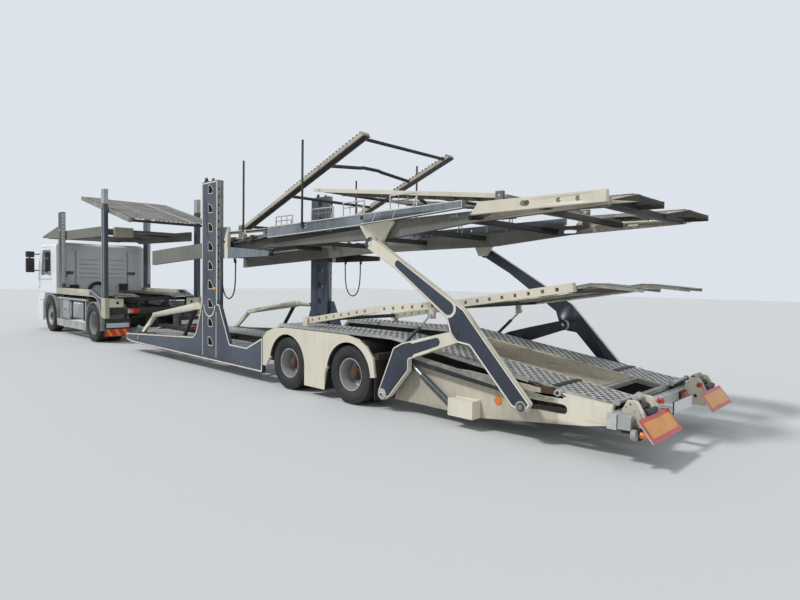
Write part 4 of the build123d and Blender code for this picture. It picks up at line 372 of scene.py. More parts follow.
# %% The two hoses
HOSE_DIAMETER = 0.022
HOSE_Y = HALF_WIDTH - 0.143
HOSE_ROUTES = [
    ("hose_left", 1, 1.967, [(3.474, 2.430), (3.474, 2.190), (3.486, 1.945), (3.494, 1.700), (3.468, 1.470),
                             (3.390, 1.325), (3.265, 1.272), (3.142, 1.318), (3.066, 1.445), (3.046, 1.668),
                             (3.046, 1.889)]),
    ("hose_right", -1, 1.406, [(2.838, 1.930), (2.838, 1.745), (2.822, 1.560), (2.766, 1.405), (2.672, 1.325),
                               (2.565, 1.322), (2.470, 1.396), (2.418, 1.555), (2.403, 1.738),
                               (2.403, 1.922)]),
]
for name, side, length, route in HOSE_ROUTES:
    curve = bpy.data.curves.new(name + "_rubber", "CURVE")
    curve.dimensions = "3D"
    curve.bevel_depth = HOSE_DIAMETER / 2
    curve.bevel_resolution = 4
    curve.resolution_u = 10
    spline = curve.splines.new("NURBS")
    spline.points.add(len(route) - 1)
    for point, (x, z) in zip(spline.points, route):
        point.co = (REAR_AXLE_X + x, side * HOSE_Y, z, 1.0)
    spline.order_u = 3
    spline.use_endpoint_u = True
    curve.materials.append(HOSE_RUBBER)
    hose = placed(name + "_rubber", curve)
    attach(hose, "trailer")
    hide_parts(name)
    start = (REAR_AXLE_X + route[0][0], side * HOSE_Y, route[0][1])
    print(name, length, "m")

# %% [markdown]
# ## Surfaces from arrays
#
# Every new fitting is built from a few kinds of surface: a tube carried along a path, a profile turned about
# an axis, a plate cut from an outline, and a small block with broken edges. Each function returns its points
# as one array and its faces as arrays of point numbers, so that pieces can be added, mirrored and turned as
# arrays.

# %% Tubes, turned parts, plates and blocks
def grid_faces(rows, columns, around=True):
    """Quads of a grid of points, row by row; around joins the last column to the first."""
    i, j = np.meshgrid(np.arange(rows - 1), np.arange(columns if around else columns - 1), indexing="ij")
    k = (j + 1) % columns
    quads = np.stack([i * columns + j, i * columns + k, (i + 1) * columns + k, (i + 1) * columns + j],
                     axis=-1)
    return quads.reshape(-1, 4)


def end_caps(rows, sides):
    """The two faces that close a grid's first and last rows."""
    return [np.arange(sides)[None, ::-1], np.arange(sides)[None, :] + (rows - 1) * sides]


def tube(path, radius, sides=10):
    """A circle carried along a path: point + radius * (cos a * side + sin a * up), closed by its two ends."""
    path = np.array(path, dtype=float)
    ahead = np.gradient(path, axis=0)
    ahead /= np.linalg.norm(ahead, axis=1, keepdims=True)
    guide = np.array([0.0, 0.0, 1.0]) if np.abs(ahead[:, 2]).max() < 0.95 else np.array([0.31, 0.95, 0.0])
    side = np.cross(ahead, guide)
    side /= np.linalg.norm(side, axis=1, keepdims=True)
    up = np.cross(side, ahead)
    angle = np.linspace(0, 2 * math.pi, sides, endpoint=False)
    ring = np.cos(angle)[None, :, None] * side[:, None, :] + np.sin(angle)[None, :, None] * up[:, None, :]
    points = (path[:, None, :] + radius * ring).reshape(-1, 3)
    return points, [grid_faces(len(path), sides), *end_caps(len(path), sides)]


def lathe(profile, centre, axis="y", sides=28, closed=True):
    """A profile of (along, radius) turned about an axis: centre + along * axis + radius * (cos a, sin a)."""
    profile = np.array(profile, dtype=float)
    angle = np.linspace(0, 2 * math.pi, sides, endpoint=False)
    along, out = np.repeat(profile[:, 0], sides), np.repeat(profile[:, 1], sides)
    a, b = out * np.tile(np.cos(angle), len(profile)), out * np.tile(np.sin(angle), len(profile))
    order = {"x": (along, a, b), "y": (b, along, a), "z": (a, b, along)}[axis]
    points = np.stack(order, axis=1) + np.array(centre)
    return points, [grid_faces(len(profile), sides), *(end_caps(len(profile), sides) if closed else [])]


def plate(loops, y0, y1):
    """A plate between two values of y. The first loop of (x, z) is its outline and the others are holes."""
    loops = [np.array(loop, dtype=float) for loop in loops]
    flat = np.concatenate(loops)
    triangles = np.array(tessellate_polygon([[Vector((x, z, 0)) for x, z in loop] for loop in loops]))
    count = len(flat)
    points = np.concatenate([np.insert(flat, 1, y, axis=1) for y in (y0, y1)])
    walls, start = [], 0
    for loop in loops:
        here = np.arange(start, start + len(loop))
        after = np.roll(here, -1)
        walls.append(np.stack([here, after, after + count, here + count], axis=1))
        start += len(loop)
    return points, [triangles, triangles[:, ::-1] + count, np.concatenate(walls)]


def slab(low, high, edge=0.003):
    """A block between two corners with broken edges: each face is drawn in by the edge and joined to the
    next. Corner i, j, k is point 4i + 2j + k, and each axis has its own eight points."""
    low, high = np.array(low, dtype=float), np.array(high, dtype=float)
    edge = min(edge, float((high - low).min()) * 0.3)
    signs = np.array([(i, j, k) for i in (0, 1) for j in (0, 1) for k in (0, 1)])
    inward = edge * (1 - 2 * signs)
    points = np.concatenate([low + signs * (high - low) + inward * (1 - np.eye(3)[a]) for a in range(3)])
    faces = []
    for a in range(3):
        b, c = (a + 1) % 3, (a + 2) % 3
        step, over, up = (4, 2, 1)[a], (4, 2, 1)[b], (4, 2, 1)[c]
        for s in (0, step):
            faces.append([8 * a + s + n for n in (0, over, over + up, up)])
        for n in (0, up, over, over + up):
            faces.append([n + 8 * b, n + step + 8 * b, n + step + 8 * c, n + 8 * c])
    return points, [np.array(faces), np.arange(8)[:, None] + np.array([[0, 8, 16]])]


def swung(surface, degrees, pivot):
    """A surface turned about a line along y through pivot, given as x and z; positive lifts its rear end."""
    points, faces = surface
    a = math.radians(degrees)
    x, z = points[:, 0] - pivot[0], points[:, 2] - pivot[1]
    return np.stack([pivot[0] + x * math.cos(a) + z * math.sin(a), points[:, 1],
                     pivot[1] - x * math.sin(a) + z * math.cos(a)], axis=1), faces


def crosswise(surface):
    """A surface with x and y exchanged, so that a plate lies across the truck."""
    points, faces = surface
    return points[:, [1, 0, 2]], [f[:, ::-1] for f in faces]


print("surface makers ready")

# %% [markdown]
# ## From surfaces to pieces
#
# A piece on the truck is one object that rides on a body of the frame. Its surfaces keep their own finishes
# as material slots of the one mesh. Normals are worked out again at the end, so a mirrored surface can't stay
# inside out, and edges sharper than 32 degrees are kept crisp.

# %% Surfaces with their finishes
def twins(surfaces):
    """The mirror images of (surface, material) pairs on the truck's other side."""
    return [((points * np.array([1, -1, 1]), [f[:, ::-1] for f in faces]), material)
            for (points, faces), material in surfaces]


def both(surfaces):
    """A list of (surface, material) pairs and their mirror images."""
    return surfaces + twins(surfaces)


def painted(surfaces, material):
    """Pairs each surface with one material; a pair in the list keeps its own."""
    return [item if isinstance(item[0], tuple) else (item, material) for item in surfaces]


def blocks(x, material, rows, edge=0.003):
    """Slabs from rows of x0, x1, y0, y1, z0 and z1, with x counted from a place on the truck."""
    return [(slab((x + x0, y0, z0), (x + x1, y1, z1), edge), material) for x0, x1, y0, y1, z0, z1 in rows]


def rod(x, z, radius, y0, y1, sides=14):
    """A round bar across the truck."""
    return tube([(x, y0, z), (x, y1, z)], radius, sides)


def circle(x, z, radius, count):
    """An outline of evenly spaced points round a centre."""
    a = np.linspace(0, 2 * math.pi, count, endpoint=False)
    return np.stack([x + radius * np.cos(a), z + radius * np.sin(a)], axis=1)


# %% Make a piece
CRISP = 32


def dressed(name, mesh, body, replaces=(), crisp=CRISP):
    """Shades a mesh smooth between crisp edges and sets it on a body, in place of the nodes it replaces."""
    mesh.polygons.foreach_set("use_smooth", [True] * len(mesh.polygons))
    mesh.set_sharp_from_angle(angle=math.radians(crisp))
    made = placed(name, mesh)
    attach(made, body)
    if replaces:
        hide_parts(*replaces)
    print(name, len(mesh.polygons), "faces")


def piece(name, surfaces, body, replaces=(), crisp=CRISP):
    """Joins (surface, material) pairs into one object."""
    points, faces, slots, materials, start = [], [], [], [], 0
    for (some_points, some_faces), material in surfaces:
        if material not in materials:
            materials.append(material)
        points.append(some_points)
        for block in some_faces:
            faces += (block + start).tolist()
            slots += [materials.index(material)] * len(block)
        start += len(some_points)
    mesh = bpy.data.meshes.new(name)
    mesh.from_pydata(np.concatenate(points).tolist(), [], faces)
    for material in materials:
        mesh.materials.append(material)
    mesh.polygons.foreach_set("material_index", slots)
    shape = bmesh.new()
    shape.from_mesh(mesh)
    bmesh.ops.recalc_face_normals(shape, faces=shape.faces)
    shape.to_mesh(mesh)
    shape.free()
    dressed(name, mesh, body, replaces, crisp)


# %% Outlines
def rounded(outline, radius, steps=5):
    """An outline with each corner swept round: its two tangent points and a curve drawn between them."""
    outline = np.array(outline, dtype=float)
    before, after = np.roll(outline, 1, axis=0) - outline, np.roll(outline, -1, axis=0) - outline
    long_before, long_after = np.linalg.norm(before, axis=1), np.linalg.norm(after, axis=1)
    cosine = (before * after).sum(axis=1) / (long_before * long_after)
    reach = radius / np.tan(np.arccos(np.clip(cosine, -0.9999, 0.9999)) / 2)
    reach = np.minimum(reach, 0.45 * np.minimum(long_before, long_after))[:, None]
    start = outline + before / long_before[:, None] * reach
    stop = outline + after / long_after[:, None] * reach
    t = np.linspace(0, 1, steps)[None, :, None]
    curve = (1 - t) ** 2 * start[:, None] + 2 * t * (1 - t) * outline[:, None] + t ** 2 * stop[:, None]
    return curve.reshape(-1, 2)


def inset(outline, distance):
    """An outline drawn inwards by a distance: each corner moves along the mean of its two edges' normals."""
    outline = np.array(outline, dtype=float)
    after = np.roll(outline, -1, axis=0)
    edge = after - outline
    area = float(np.sum(outline[:, 0] * after[:, 1] - after[:, 0] * outline[:, 1]))
    normal = np.stack([-edge[:, 1], edge[:, 0]], axis=1) / np.linalg.norm(edge, axis=1, keepdims=True)
    normal *= 1 if area > 0 else -1
    mean = normal + np.roll(normal, 1, axis=0)
    mean /= np.linalg.norm(mean, axis=1, keepdims=True)
    share = np.maximum((mean * normal).sum(axis=1, keepdims=True), 0.35)
    return outline + mean * distance / share


print("piece maker ready")

# %% [markdown]
# ## The pierced wheel tracks
#
# A car's wheels run on folded steel planks, punched with staggered rows of long holes so that snow, mud and
# rain fall through and a strap's hook finds a hold anywhere. Modelling each hole with a boolean would take
# minutes. A tiled grid is better: each hole is eight points inside eight points of its cell, and odd rows are
# shifted half a cell, which brings the cells' corners onto their neighbours' middles. The whole plank is laid
# out flat as arrays of distance along and across, and then mapped onto its folded line.

# %% Folded lines
def run_of(line):
    """The distance from a line's start to each of its points."""
    return np.concatenate([[0], np.cumsum(np.linalg.norm(np.diff(line, axis=0), axis=1))])


def on_line(line, along):
    """Points at distances along a folded line: x and z are read off by linear interpolation of its length."""
    return np.interp(along, run_of(line), line[:, 0]), np.interp(along, run_of(line), line[:, 1])


def band(line, thickness):
    """A strip of even thickness below a line, as an outline; points move by thickness / cos(half turn)."""
    line = np.array(line, dtype=float)
    run = np.diff(line, axis=0)
    normal = np.stack([run[:, 1], -run[:, 0]], axis=1) / np.linalg.norm(run, axis=1, keepdims=True)
    normal *= -np.sign(normal[:, 1:])
    first, last = np.concatenate([normal[:1], normal]), np.concatenate([normal, normal[-1:]])
    mean = first + last
    mean /= np.linalg.norm(mean, axis=1, keepdims=True)
    share = (mean * first).sum(axis=1, keepdims=True)
    return np.concatenate([line, (line + mean * thickness / share)[::-1]])


def sheet_strip(line, s, y0, y1, sheet):
    """A plain part of a plank's sheet between two values of y, over a run of distances s."""
    px, pz = on_line(line, s)
    corners = [(y0, 0), (y1, 0), (y1, sheet), (y0, sheet)]
    points = np.stack([np.stack([px, np.full_like(px, y), pz - d], axis=1) for y, d in corners], axis=1)
    caps = [np.array([[0, 1, 2, 3]]), np.array([[3, 2, 1, 0]]) + (len(s) - 1) * 4]
    return points.reshape(-1, 3), [grid_faces(len(s), 4), *caps]


# %% The plank
HOLE_PITCH = 0.105
HOLE_LONG = 0.068
HOLE_WIDE = 0.032
HOLE_COLLAR = 0.020
HOLE_CORNER = 0.72
PLANK_MARGIN = 0.014
PLANK_SHEET = 0.006
PLANK_ROWS = 9
FLANGE = 0.005
RIB_PITCH = 0.35
TRACK_IN = 0.450
TRACK_OUT = left_face("trailer_lower_tracks")


def plank(line, y0, y1, depth, rows=PLANK_ROWS):
    """A pierced plank along a line of x and z: the holed sheet, plain margins, two side flanges and ribs."""
    line = np.array(line, dtype=float)
    total = run_of(line)[-1]
    count = int((total - 0.03) // HOLE_PITCH)
    lead = (total - count * HOLE_PITCH) / 2
    wide = (y1 - y0 - 2 * PLANK_MARGIN) / rows
    rim = np.array([(0, 0), (0.5, 0), (1, 0), (1, 0.5), (1, 1), (0.5, 1), (0, 1), (0, 0.5)])
    long, across = HOLE_LONG / HOLE_PITCH / 2, HOLE_WIDE / wide / 2
    bend = long * HOLE_CORNER
    hole = np.array([(-bend, -across), (0, -across), (bend, -across), (long, 0), (bend, across), (0, across),
                     (-bend, across), (-long, 0)]) + 0.5
    column, step = np.meshgrid(np.arange(rows), np.arange(count), indexing="ij")
    shift = (column % 2) * 0.5
    inside = shift + step + 1 <= count
    start = np.stack([lead + (step + shift) * HOLE_PITCH, y0 + PLANK_MARGIN + column * wide], axis=-1)[inside]
    flat = start[:, None, :] + np.concatenate([rim, hole])[None] * np.array([HOLE_PITCH, wide])
    flat = flat.reshape(-1, 2)
    base = np.arange(len(start))[:, None, None] * 16
    i = np.arange(8)
    j = (i + 1) % 8
    ring = (np.stack([i, j, j + 8, i + 8], axis=1)[None] + base).reshape(-1, 4)
    wall = np.stack([i + 8, j + 8, j + 8 + len(flat), i + 8 + len(flat)], axis=1)
    wall = (wall[None] + base).reshape(-1, 4)
    x, z = on_line(line, flat[:, 0])
    sheet, collar = [np.concatenate([np.stack([x, flat[:, 1], z - drop], axis=1) for drop in (0, deep)])
                     for deep in (PLANK_SHEET, HOLE_COLLAR)]
    # The holes' walls are black: painted shade inside the holes of the galvanised sheet.
    surfaces = [(sheet, [ring, ring[:, ::-1] + len(flat)]), ((collar, [wall]), BLACK)]
    whole = np.unique(np.concatenate([run_of(line), np.linspace(0, total, 2 * count)]))
    plain = [(whole, y0, y0 + PLANK_MARGIN), (whole, y1 - PLANK_MARGIN, y1),
             (np.array([0, lead]), y0, y1), (np.array([total - lead, total]), y0, y1)]
    for low in y0 + PLANK_MARGIN + np.arange(1, rows, 2) * wide:
        plain += [(np.array([lead, lead + HOLE_PITCH / 2]), low, low + wide),
                  (np.array([total - lead - HOLE_PITCH / 2, total - lead]), low, low + wide)]
    surfaces += [sheet_strip(line, *part, PLANK_SHEET) for part in plain]
    surfaces += [plate([band(line - np.array([0, 0.003]), depth - 0.003)], y, y + FLANGE)
                 for y in (y0, y1 - FLANGE)]
    for s in np.arange(0.02, total - 0.03, RIB_PITCH):
        (_, x, _), (rear_z, z, front_z) = on_line(line, np.array([s - 0.016, s, s + 0.016]))
        surfaces.append(slab((x - 0.014, y0 + FLANGE, z - depth + 0.006),
                             (x + 0.014, y1 - FLANGE, min(rear_z, front_z) - PLANK_SHEET)))
    return surfaces


print("tracks from", TRACK_IN, "to", round(TRACK_OUT, 3), "half a cell shifted every other row")

# %% [markdown]
# ## Planks of the trailer's lower deck
#
# The lower deck dips between the truck and the wheels, climbs over the wheels and falls to the tail. Between
# its two planks, over the fall, lies a beige tread plate with raised lozenges. A forged seat on each plank
# carries the middle deck's pivot.

# %% Lower deck
DECK_HIGH, DECK_TAIL = 0.93, 0.52
FALL_START, FALL_END = 0.52, 3.45
fall = (DECK_HIGH - DECK_TAIL) / (FALL_END - FALL_START)


def deck_z(d):
    """The height of the falling lower deck at a distance behind the rear axle."""
    return DECK_HIGH - (d - FALL_START) * fall


lower_line = on_trailer([(7.2, 0.45), (2.52, 0.45), (1.96, DECK_HIGH), (-FALL_START, DECK_HIGH),
                         (-FALL_END, DECK_TAIL)])
seat_outline = on_trailer([(1.25, 0.925), (1.25, 1.075), (1.35, 1.075), (1.35, 0.925)])
seat = plate([rounded(seat_outline, 0.02)], TRACK_OUT - 0.025, TRACK_OUT)
lower = both(painted(plank(lower_line, TRACK_IN, TRACK_OUT, 0.045), GALVANISED) + [(seat, CREAM)])

tread_line = on_trailer([(-d, deck_z(d) - 0.012) for d in (1.15, 3.05)])
tread_run = run_of(tread_line)[-1]
lower.append((sheet_strip(tread_line, np.array([0, tread_run]), -TRACK_IN, TRACK_IN, 0.008), TREAD_PLATE))

STUD_PITCH = 0.052
u, v = np.meshgrid(np.arange(0.03, tread_run - 0.03, STUD_PITCH),
                   np.arange(-TRACK_IN + 0.03, TRACK_IN - 0.02, STUD_PITCH), indexing="ij")
v = v + (np.arange(len(u)) % 2)[:, None] * STUD_PITCH / 2
u, v = u.ravel(), v.ravel()
flip = (np.arange(len(u)) % 2)[:, None] * 2 - 1
lozenge = np.array([(-0.017, -0.005), (0.017, 0.005), (0.012, 0.010), (-0.012, -0.010)])[None]
lozenge_u, lozenge_v = u[:, None] + lozenge[..., 0], v[:, None] + lozenge[..., 1] * flip
rim_x, rim_z = on_line(tread_line, lozenge_u.ravel())
rims = np.stack([rim_x, lozenge_v.ravel(), rim_z], axis=1).reshape(-1, 4, 3)
tip_x, tip_z = on_line(tread_line, u)
tips = np.stack([tip_x, v, tip_z + 0.004], axis=1)[:, None, :]
studs = np.concatenate([rims, tips], axis=1).reshape(-1, 3)
fans = np.array([(0, 1, 4), (1, 2, 4), (2, 3, 4), (3, 0, 4)])[None] + np.arange(len(u))[:, None, None] * 5
lower.append(((studs, [fans.reshape(-1, 3)]), TREAD_PLATE))
for s in (0.015, tread_run - 0.015):
    x, z = [float(c) for c in on_line(tread_line, s)]
    lower += blocks(x, GALVANISED, [(-0.015, 0.015, -TRACK_IN, TRACK_IN, z - 0.02, z - 0.008)])
piece("pierced_lower_planks", lower, "trailer", ["trailer_lower_tracks"])

# %% [markdown]
# ## Planks of the upper decks
#
# The upper frame carries two pairs of planks level with itself, and two platforms that tip: a pair of narrow
# rails that rises steeply towards the rear over the trailer, and a flap that lies nearly level behind it.
# Round tubes join each platform's tracks, one of them cranked upwards.

# %% Upper deck and its two platforms
rear_line = on_trailer([(-2.25, 2.47), (-3.56, 2.47)])
front_line = on_trailer([(6.3, 2.2), (3.3, 2.33)])
upper = [s for line in (rear_line, front_line) for s in plank(line, TRACK_IN, TRACK_OUT, 0.04)]
piece("pierced_upper_planks", both(painted(upper, GALVANISED_DARK)), "upper_deck",
      ["upper_deck_tracks"])

TOOTH_PITCH = 0.075


def rail(line, depth):
    """A narrow track along a line: a folded rail, a dark channel below it and teeth on its rear half."""
    total = run_of(line)[-1]
    rails = [(plate([band(line, depth)], TRACK_OUT - 0.150, TRACK_OUT), CREAM_GRIMY),
             (plate([band(line - np.array([0, depth * 0.6]), depth * 0.5)],
                    TRACK_OUT - 0.13, TRACK_OUT - 0.02), BLACK)]
    for s in np.arange(total * 0.42, total - 0.02, TOOTH_PITCH):
        x, z = [float(c) for c in on_line(line, s)]
        rails += blocks(x, BLACK, [(-0.016, 0.016, TRACK_OUT - 0.148, TRACK_OUT - 0.002,
                                    z - 0.002, z + 0.020)], 0.002)
    return rails


def flap(line, depth):
    """A pierced track along a line."""
    return painted(plank(line, TRACK_IN, TRACK_OUT, depth), GALVANISED_DARK)


def platform(name, pivot, length, direction, degrees, body, node, edge, track, reach):
    """A tipping platform: two tracks, cross tubes, one of them cranked, and the pivot bosses and pins."""
    x, z = pivot
    line = np.array([(x, z + 0.025), (x + direction * length, z + 0.025)])
    lip = plate([band(line + np.array([0, 0.0005]), 0.051)], TRACK_OUT - 0.001, TRACK_OUT + 0.003)
    surfaces = both(track(line, 0.05) + [
        (lip, edge), (rod(x, z, 0.024, TRACK_OUT - 0.06, TRACK_OUT + 0.002), edge),
        (rod(x, z, 0.0155, TRACK_OUT - 0.04, TRACK_OUT + 0.057), CHROME)])
    surfaces += [(rod(x + direction * share * length, z, 0.024, -reach, reach), BLACK)
                 for share in (0.02, 0.4, 0.97)]
    bent = x + direction * 0.72 * length
    crank = [(-reach, 0), (-0.22, 0.075), (-0.17, 0.09), (0.17, 0.09), (0.22, 0.075), (reach, 0)]
    surfaces.append((tube([(bent, y, z + rise) for y, rise in crank], 0.026, 14), BLACK))
    piece(name, [(swung(s, degrees, pivot), m) for s, m in surfaces], body, [node])


tilt_pivot, flap_pivot = on_trailer([(3.05, 2.495), (-2.15, 2.575)])
platform("tilt_platform_planks", tilt_pivot, 3.16, -1, 20.5, "tilt_platform", "tilt_tracks", CREAM_GRIMY,
         rail, TRACK_OUT - 0.1)
platform("flap_platform_planks", flap_pivot, 3.28, 1, -6.5, "flap_platform", "flap_tracks", CREAM, flap,
         TRACK_IN)

# %% [markdown]
# ## The middle deck
#
# Two deep rails, punched with a row of square holes for wheel chocks, carry narrow planks between them. A
# rail is one outline with its holes as inner loops, cut into triangles once for both of its faces.

# %% Middle deck
MIDDLE_OUT = TRACK_OUT - 0.035
MIDDLE_IN = MIDDLE_OUT - 0.075
CHOCK_PITCH = 0.165
CHOCK_HALF = 0.019
middle_line = on_trailer([(1.33, 1.055), (-0.18, 1.3), (-1.5, 1.425), (-2.97, 1.65)])
middle_eye = on_trailer([(-1.18, 1.225)])[0]
loops = [band(middle_line, 0.09)]
for start, stop in zip(middle_line, middle_line[1:]):
    way = stop - start
    run = np.linalg.norm(way)
    way /= run
    for i in range(1, int(run // CHOCK_PITCH)):
        centre = start + way * i * CHOCK_PITCH - np.array([0, 0.046])
        if np.linalg.norm(centre - middle_eye) > 0.12:
            square = np.array([(-1, -1), (1, -1), (1, 1), (-1, 1)]) * CHOCK_HALF
            loops.append(centre + square[:, :1] * way + square[:, 1:] * np.array([-way[1], way[0]]))
middle_top = on_trailer([(-0.18, 1.27), (-1.5, 1.395), (-2.97, 1.62), (-3.12, 1.65), (-3.64, 1.605)])
hub = on_trailer([(1.3, 1.035)])[0]
middle = [(plate(loops, MIDDLE_IN, MIDDLE_OUT), CREAM)]
middle += painted(plank(middle_top, TRACK_IN, MIDDLE_IN, 0.036, rows=7), GALVANISED_DARK)
middle += [(rod(*hub, 0.040, MIDDLE_IN, MIDDLE_OUT + 0.002, 24), CREAM),
           (rod(*hub, 0.0155, MIDDLE_OUT - 0.03, TRACK_OUT - 0.002), CHROME)]
middle += blocks(middle_eye[0], CREAM,
                 [(-0.034, 0.034, MIDDLE_OUT - 0.02, 0.990, middle_eye[1] - 0.034, 1.33)])
middle = both(middle)
for x, z in on_trailer([(1.24, 1.03), (-1.48, 1.36), (-2.8, 1.57)]):
    middle.append((rod(x, z, 0.030, -MIDDLE_IN - 0.02, MIDDLE_IN + 0.02), BLACK))
piece("middle_deck_planks", middle, "middle_deck", ["middle_deck"])

# %% [markdown]
# ## Painted plates
#
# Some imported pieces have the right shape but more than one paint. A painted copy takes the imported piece's own
# mesh, welds its seams and gives each face the paint of the region that the face's middle lies in. It then
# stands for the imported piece.

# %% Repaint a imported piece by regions
ANY = 99.0


def inside(x=(-ANY, ANY), y=(-ANY, ANY), z=(-ANY, ANY)):
    """A region between two values of each measure, with x ahead of the rear axle and y without sign."""
    return lambda *at: np.all([(low < a) & (a < high) for a, (low, high) in zip(at, (x, y, z))], axis=0)


def repainted(node, body, slot, base, *regions, cuts=()):
    """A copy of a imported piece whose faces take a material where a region's test holds; later regions win.
    Each cut, an axis and a place on it, first divides the faces that it crosses."""
    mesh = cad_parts[node].data.copy()
    mesh.name = node + "_painted"
    shape = bmesh.new()
    shape.from_mesh(mesh)
    bmesh.ops.remove_doubles(shape, verts=shape.verts, dist=1e-5)
    for axis, place in cuts:
        across = Vector([float(axis == a) for a in "xyz"])
        whole = shape.verts[:] + shape.edges[:] + shape.faces[:]
        bmesh.ops.bisect_plane(shape, geom=whole, plane_co=across * place, plane_no=across)
    shape.to_mesh(mesh)
    shape.free()
    mesh.materials.clear()
    for material in [base] + [material for material, _ in regions]:
        mesh.materials.append(material)
    middle, normal = np.empty(len(mesh.polygons) * 3), np.empty(len(mesh.polygons) * 3)
    mesh.polygons.foreach_get("center", middle)
    mesh.polygons.foreach_get("normal", normal)
    x, y, z = middle.reshape(-1, 3).T
    slots = np.zeros(len(mesh.polygons), dtype=np.int32)
    for i, (_, test) in enumerate(regions):
        slots[test(x - REAR_AXLE_X, np.abs(y), z, normal.reshape(-1, 3))] = i + 1
    mesh.polygons.foreach_set("material_index", slots)
    dressed(mesh.name, mesh, body, [node])


# %% Repainted pieces of the trailer
repainted("upper_deck_frame", "upper_deck", "cream_paint", CREAM_GRIMY,
          (DUSTY_GREY, inside((-2.2, ANY), (-ANY, 1.115))),
          # Faces that look down, and the inner beams' upright faces below the deck's top, are black as painted
          # shade under the deck.
          (BLACK, lambda x, y, z, n: n[:, 2] < -0.7),
          (BLACK, lambda x, y, z, n: (y < 1.0) & (z < 2.42) & (np.abs(n[:, 2]) < 0.9)),
          # The outer beam's lighter navy is a painted reflection of the sky.
          (NAVY_SKY_SHEEN, lambda x, y, z, n: (y > 1.139) & (y < 1.2051) & (x < 1.981) & (x > -1.781)
           & (z > 2.26 + 0.025 * (1.98 - x)) & ((x > -0.1) | (x < -0.715) | (z > 2.387))),
          (CREAM, inside((-ANY, -1.85), (1.139, ANY))),
          (CREAM, inside((-0.716, -0.115), (1.139, ANY), (-ANY, 2.385))),
          (GALVANISED, inside((-1.0, ANY), (1.04, 1.08), (2.46, ANY))),
          (IRON, inside((-ANY, -3.5), z=(-ANY, 2.46))))
repainted("trailer_side_frames", "trailer", "navy_paint", NAVY,
          (BLACK, inside((1.9, 3.40), (-ANY, 1.19), (0.3, 3.2))),
          # The lighter navy on the frame's top and on the post's rear faces is a painted reflection of the sky.
          (NAVY_SKY_SHEEN, inside((-ANY, 3.16), (1.19, 1.22), (1.9, 2.51))),
          (CREAM, lambda x, y, z, n: (y < 1.22) & (x >= 3.16) & (x < 3.255) & (z > 1.9) & (z < 2.52)),
          (IRON, inside((2.3, 3.6), (-ANY, 1.153), (1.8, 2.6))),
          (NAVY_SKY_SHEEN, lambda x, y, z, n: (n[:, 0] < -0.9) & (x > 3.40) & (x < 3.42) & (z > 1.2)),
          cuts=[("x", REAR_AXLE_X + 3.16)])
# The side beams' front part is black: painted shade of the open gap between the chords, with black mechanics in
# it.
repainted("rear_side_beams", "trailer", "cream_paint", CREAM_GRIMY,
          (BLACK, inside((-0.66, ANY))),
          (GREY_PLASTIC, inside(y=(1.0515, 1.0525), z=(0.60, ANY))),
          (CREAM, lambda x, y, z, n: (y > 1.0525) | (x < -2.9)),
          cuts=[("x", REAR_AXLE_X - 0.66), ("x", REAR_AXLE_X - 2.9), ("z", 0.60)])
repainted("trailer_mudguards", "trailer", "cream_paint", CREAM,
          (GREY_PLASTIC, inside(y=(-ANY, 1.23))), (BLACK, inside(y=(-ANY, 1.2))))
repainted("lift_arms", "lift_arms", "navy_paint", NAVY_DEEP,
          (CREAM, lambda x, y, z, n: (np.abs(n[:, 1]) < 0.5) & (y > 1.21)), (CHROME, inside(y=(-ANY, 1.2))))
repainted("lift_links", "lift_links", "navy_paint", NAVY_DEEP,
          (EDGE_LINE, lambda x, y, z, n: np.abs(n[:, 1]) < 0.5))
repainted("front_loading_arms", "trailer", "cream_paint", CREAM,
          (BLACK, lambda x, y, z, n: (z < 0.451) | ((x > 4.4) & (x < 5.05) & (z < 1.10 - 1.18 * (x - 4.5)))))
# The poles' kinked feet, outside 1.195 m, are black as painted shade, so that the poles read straight.
repainted("upper_deck_rails", "upper_deck", "cream_paint", CREAM_GRIMY,
          (BLACK, inside(y=(1.195, ANY))), (CREAM, inside((2.6, 2.7), z=(-ANY, 2.5))))

# %% Repainted pieces of the truck
DRIVE_X = DRIVE_AXLE_X - REAR_AXLE_X
repainted("truck_side_frames", "truck", "navy_paint", NAVY,
          (CREAM_GRIMY, inside((DRIVE_X + 0.32, ANY), z=(-ANY, 1.285))),
          (CREAM_GRIMY, inside((-ANY, DRIVE_X - 0.50), z=(0.61, 1.105))),
          (BLACK, inside((-ANY, DRIVE_X - 0.68), (-ANY, 1.11))),
          (GREY_PLASTIC, inside((-ANY, DRIVE_X - 0.5), z=(3.35, ANY))),
          (RED, inside((-ANY, DRIVE_X - 0.76), (0.419, 0.701), (0.72, 0.84))),
          (BLACK, inside((-ANY, DRIVE_X - 0.5), z=(-ANY, 0.605))),
          cuts=[("x", DRIVE_AXLE_X + 0.32), ("x", DRIVE_AXLE_X - 0.5), ("z", 1.285), ("z", 1.105),
                ("z", 0.605), ("z", 3.35)])
repainted("front_bumper", "truck", "white_cab_paint", WHITE,
          (BLACK_PLASTIC, inside(y=(-ANY, 0.565), z=(0.86, ANY))), (BLACK_PLASTIC, inside(z=(-ANY, 0.36))))

# %% [markdown]
# ## Planks of the truck
#
# The truck repeats the trailer's planks: level ones between its wheels, a pair over the cab, and a ramp at
# the rear that tips about its pins in the rear posts. The ramp has a pierced centre panel as well.

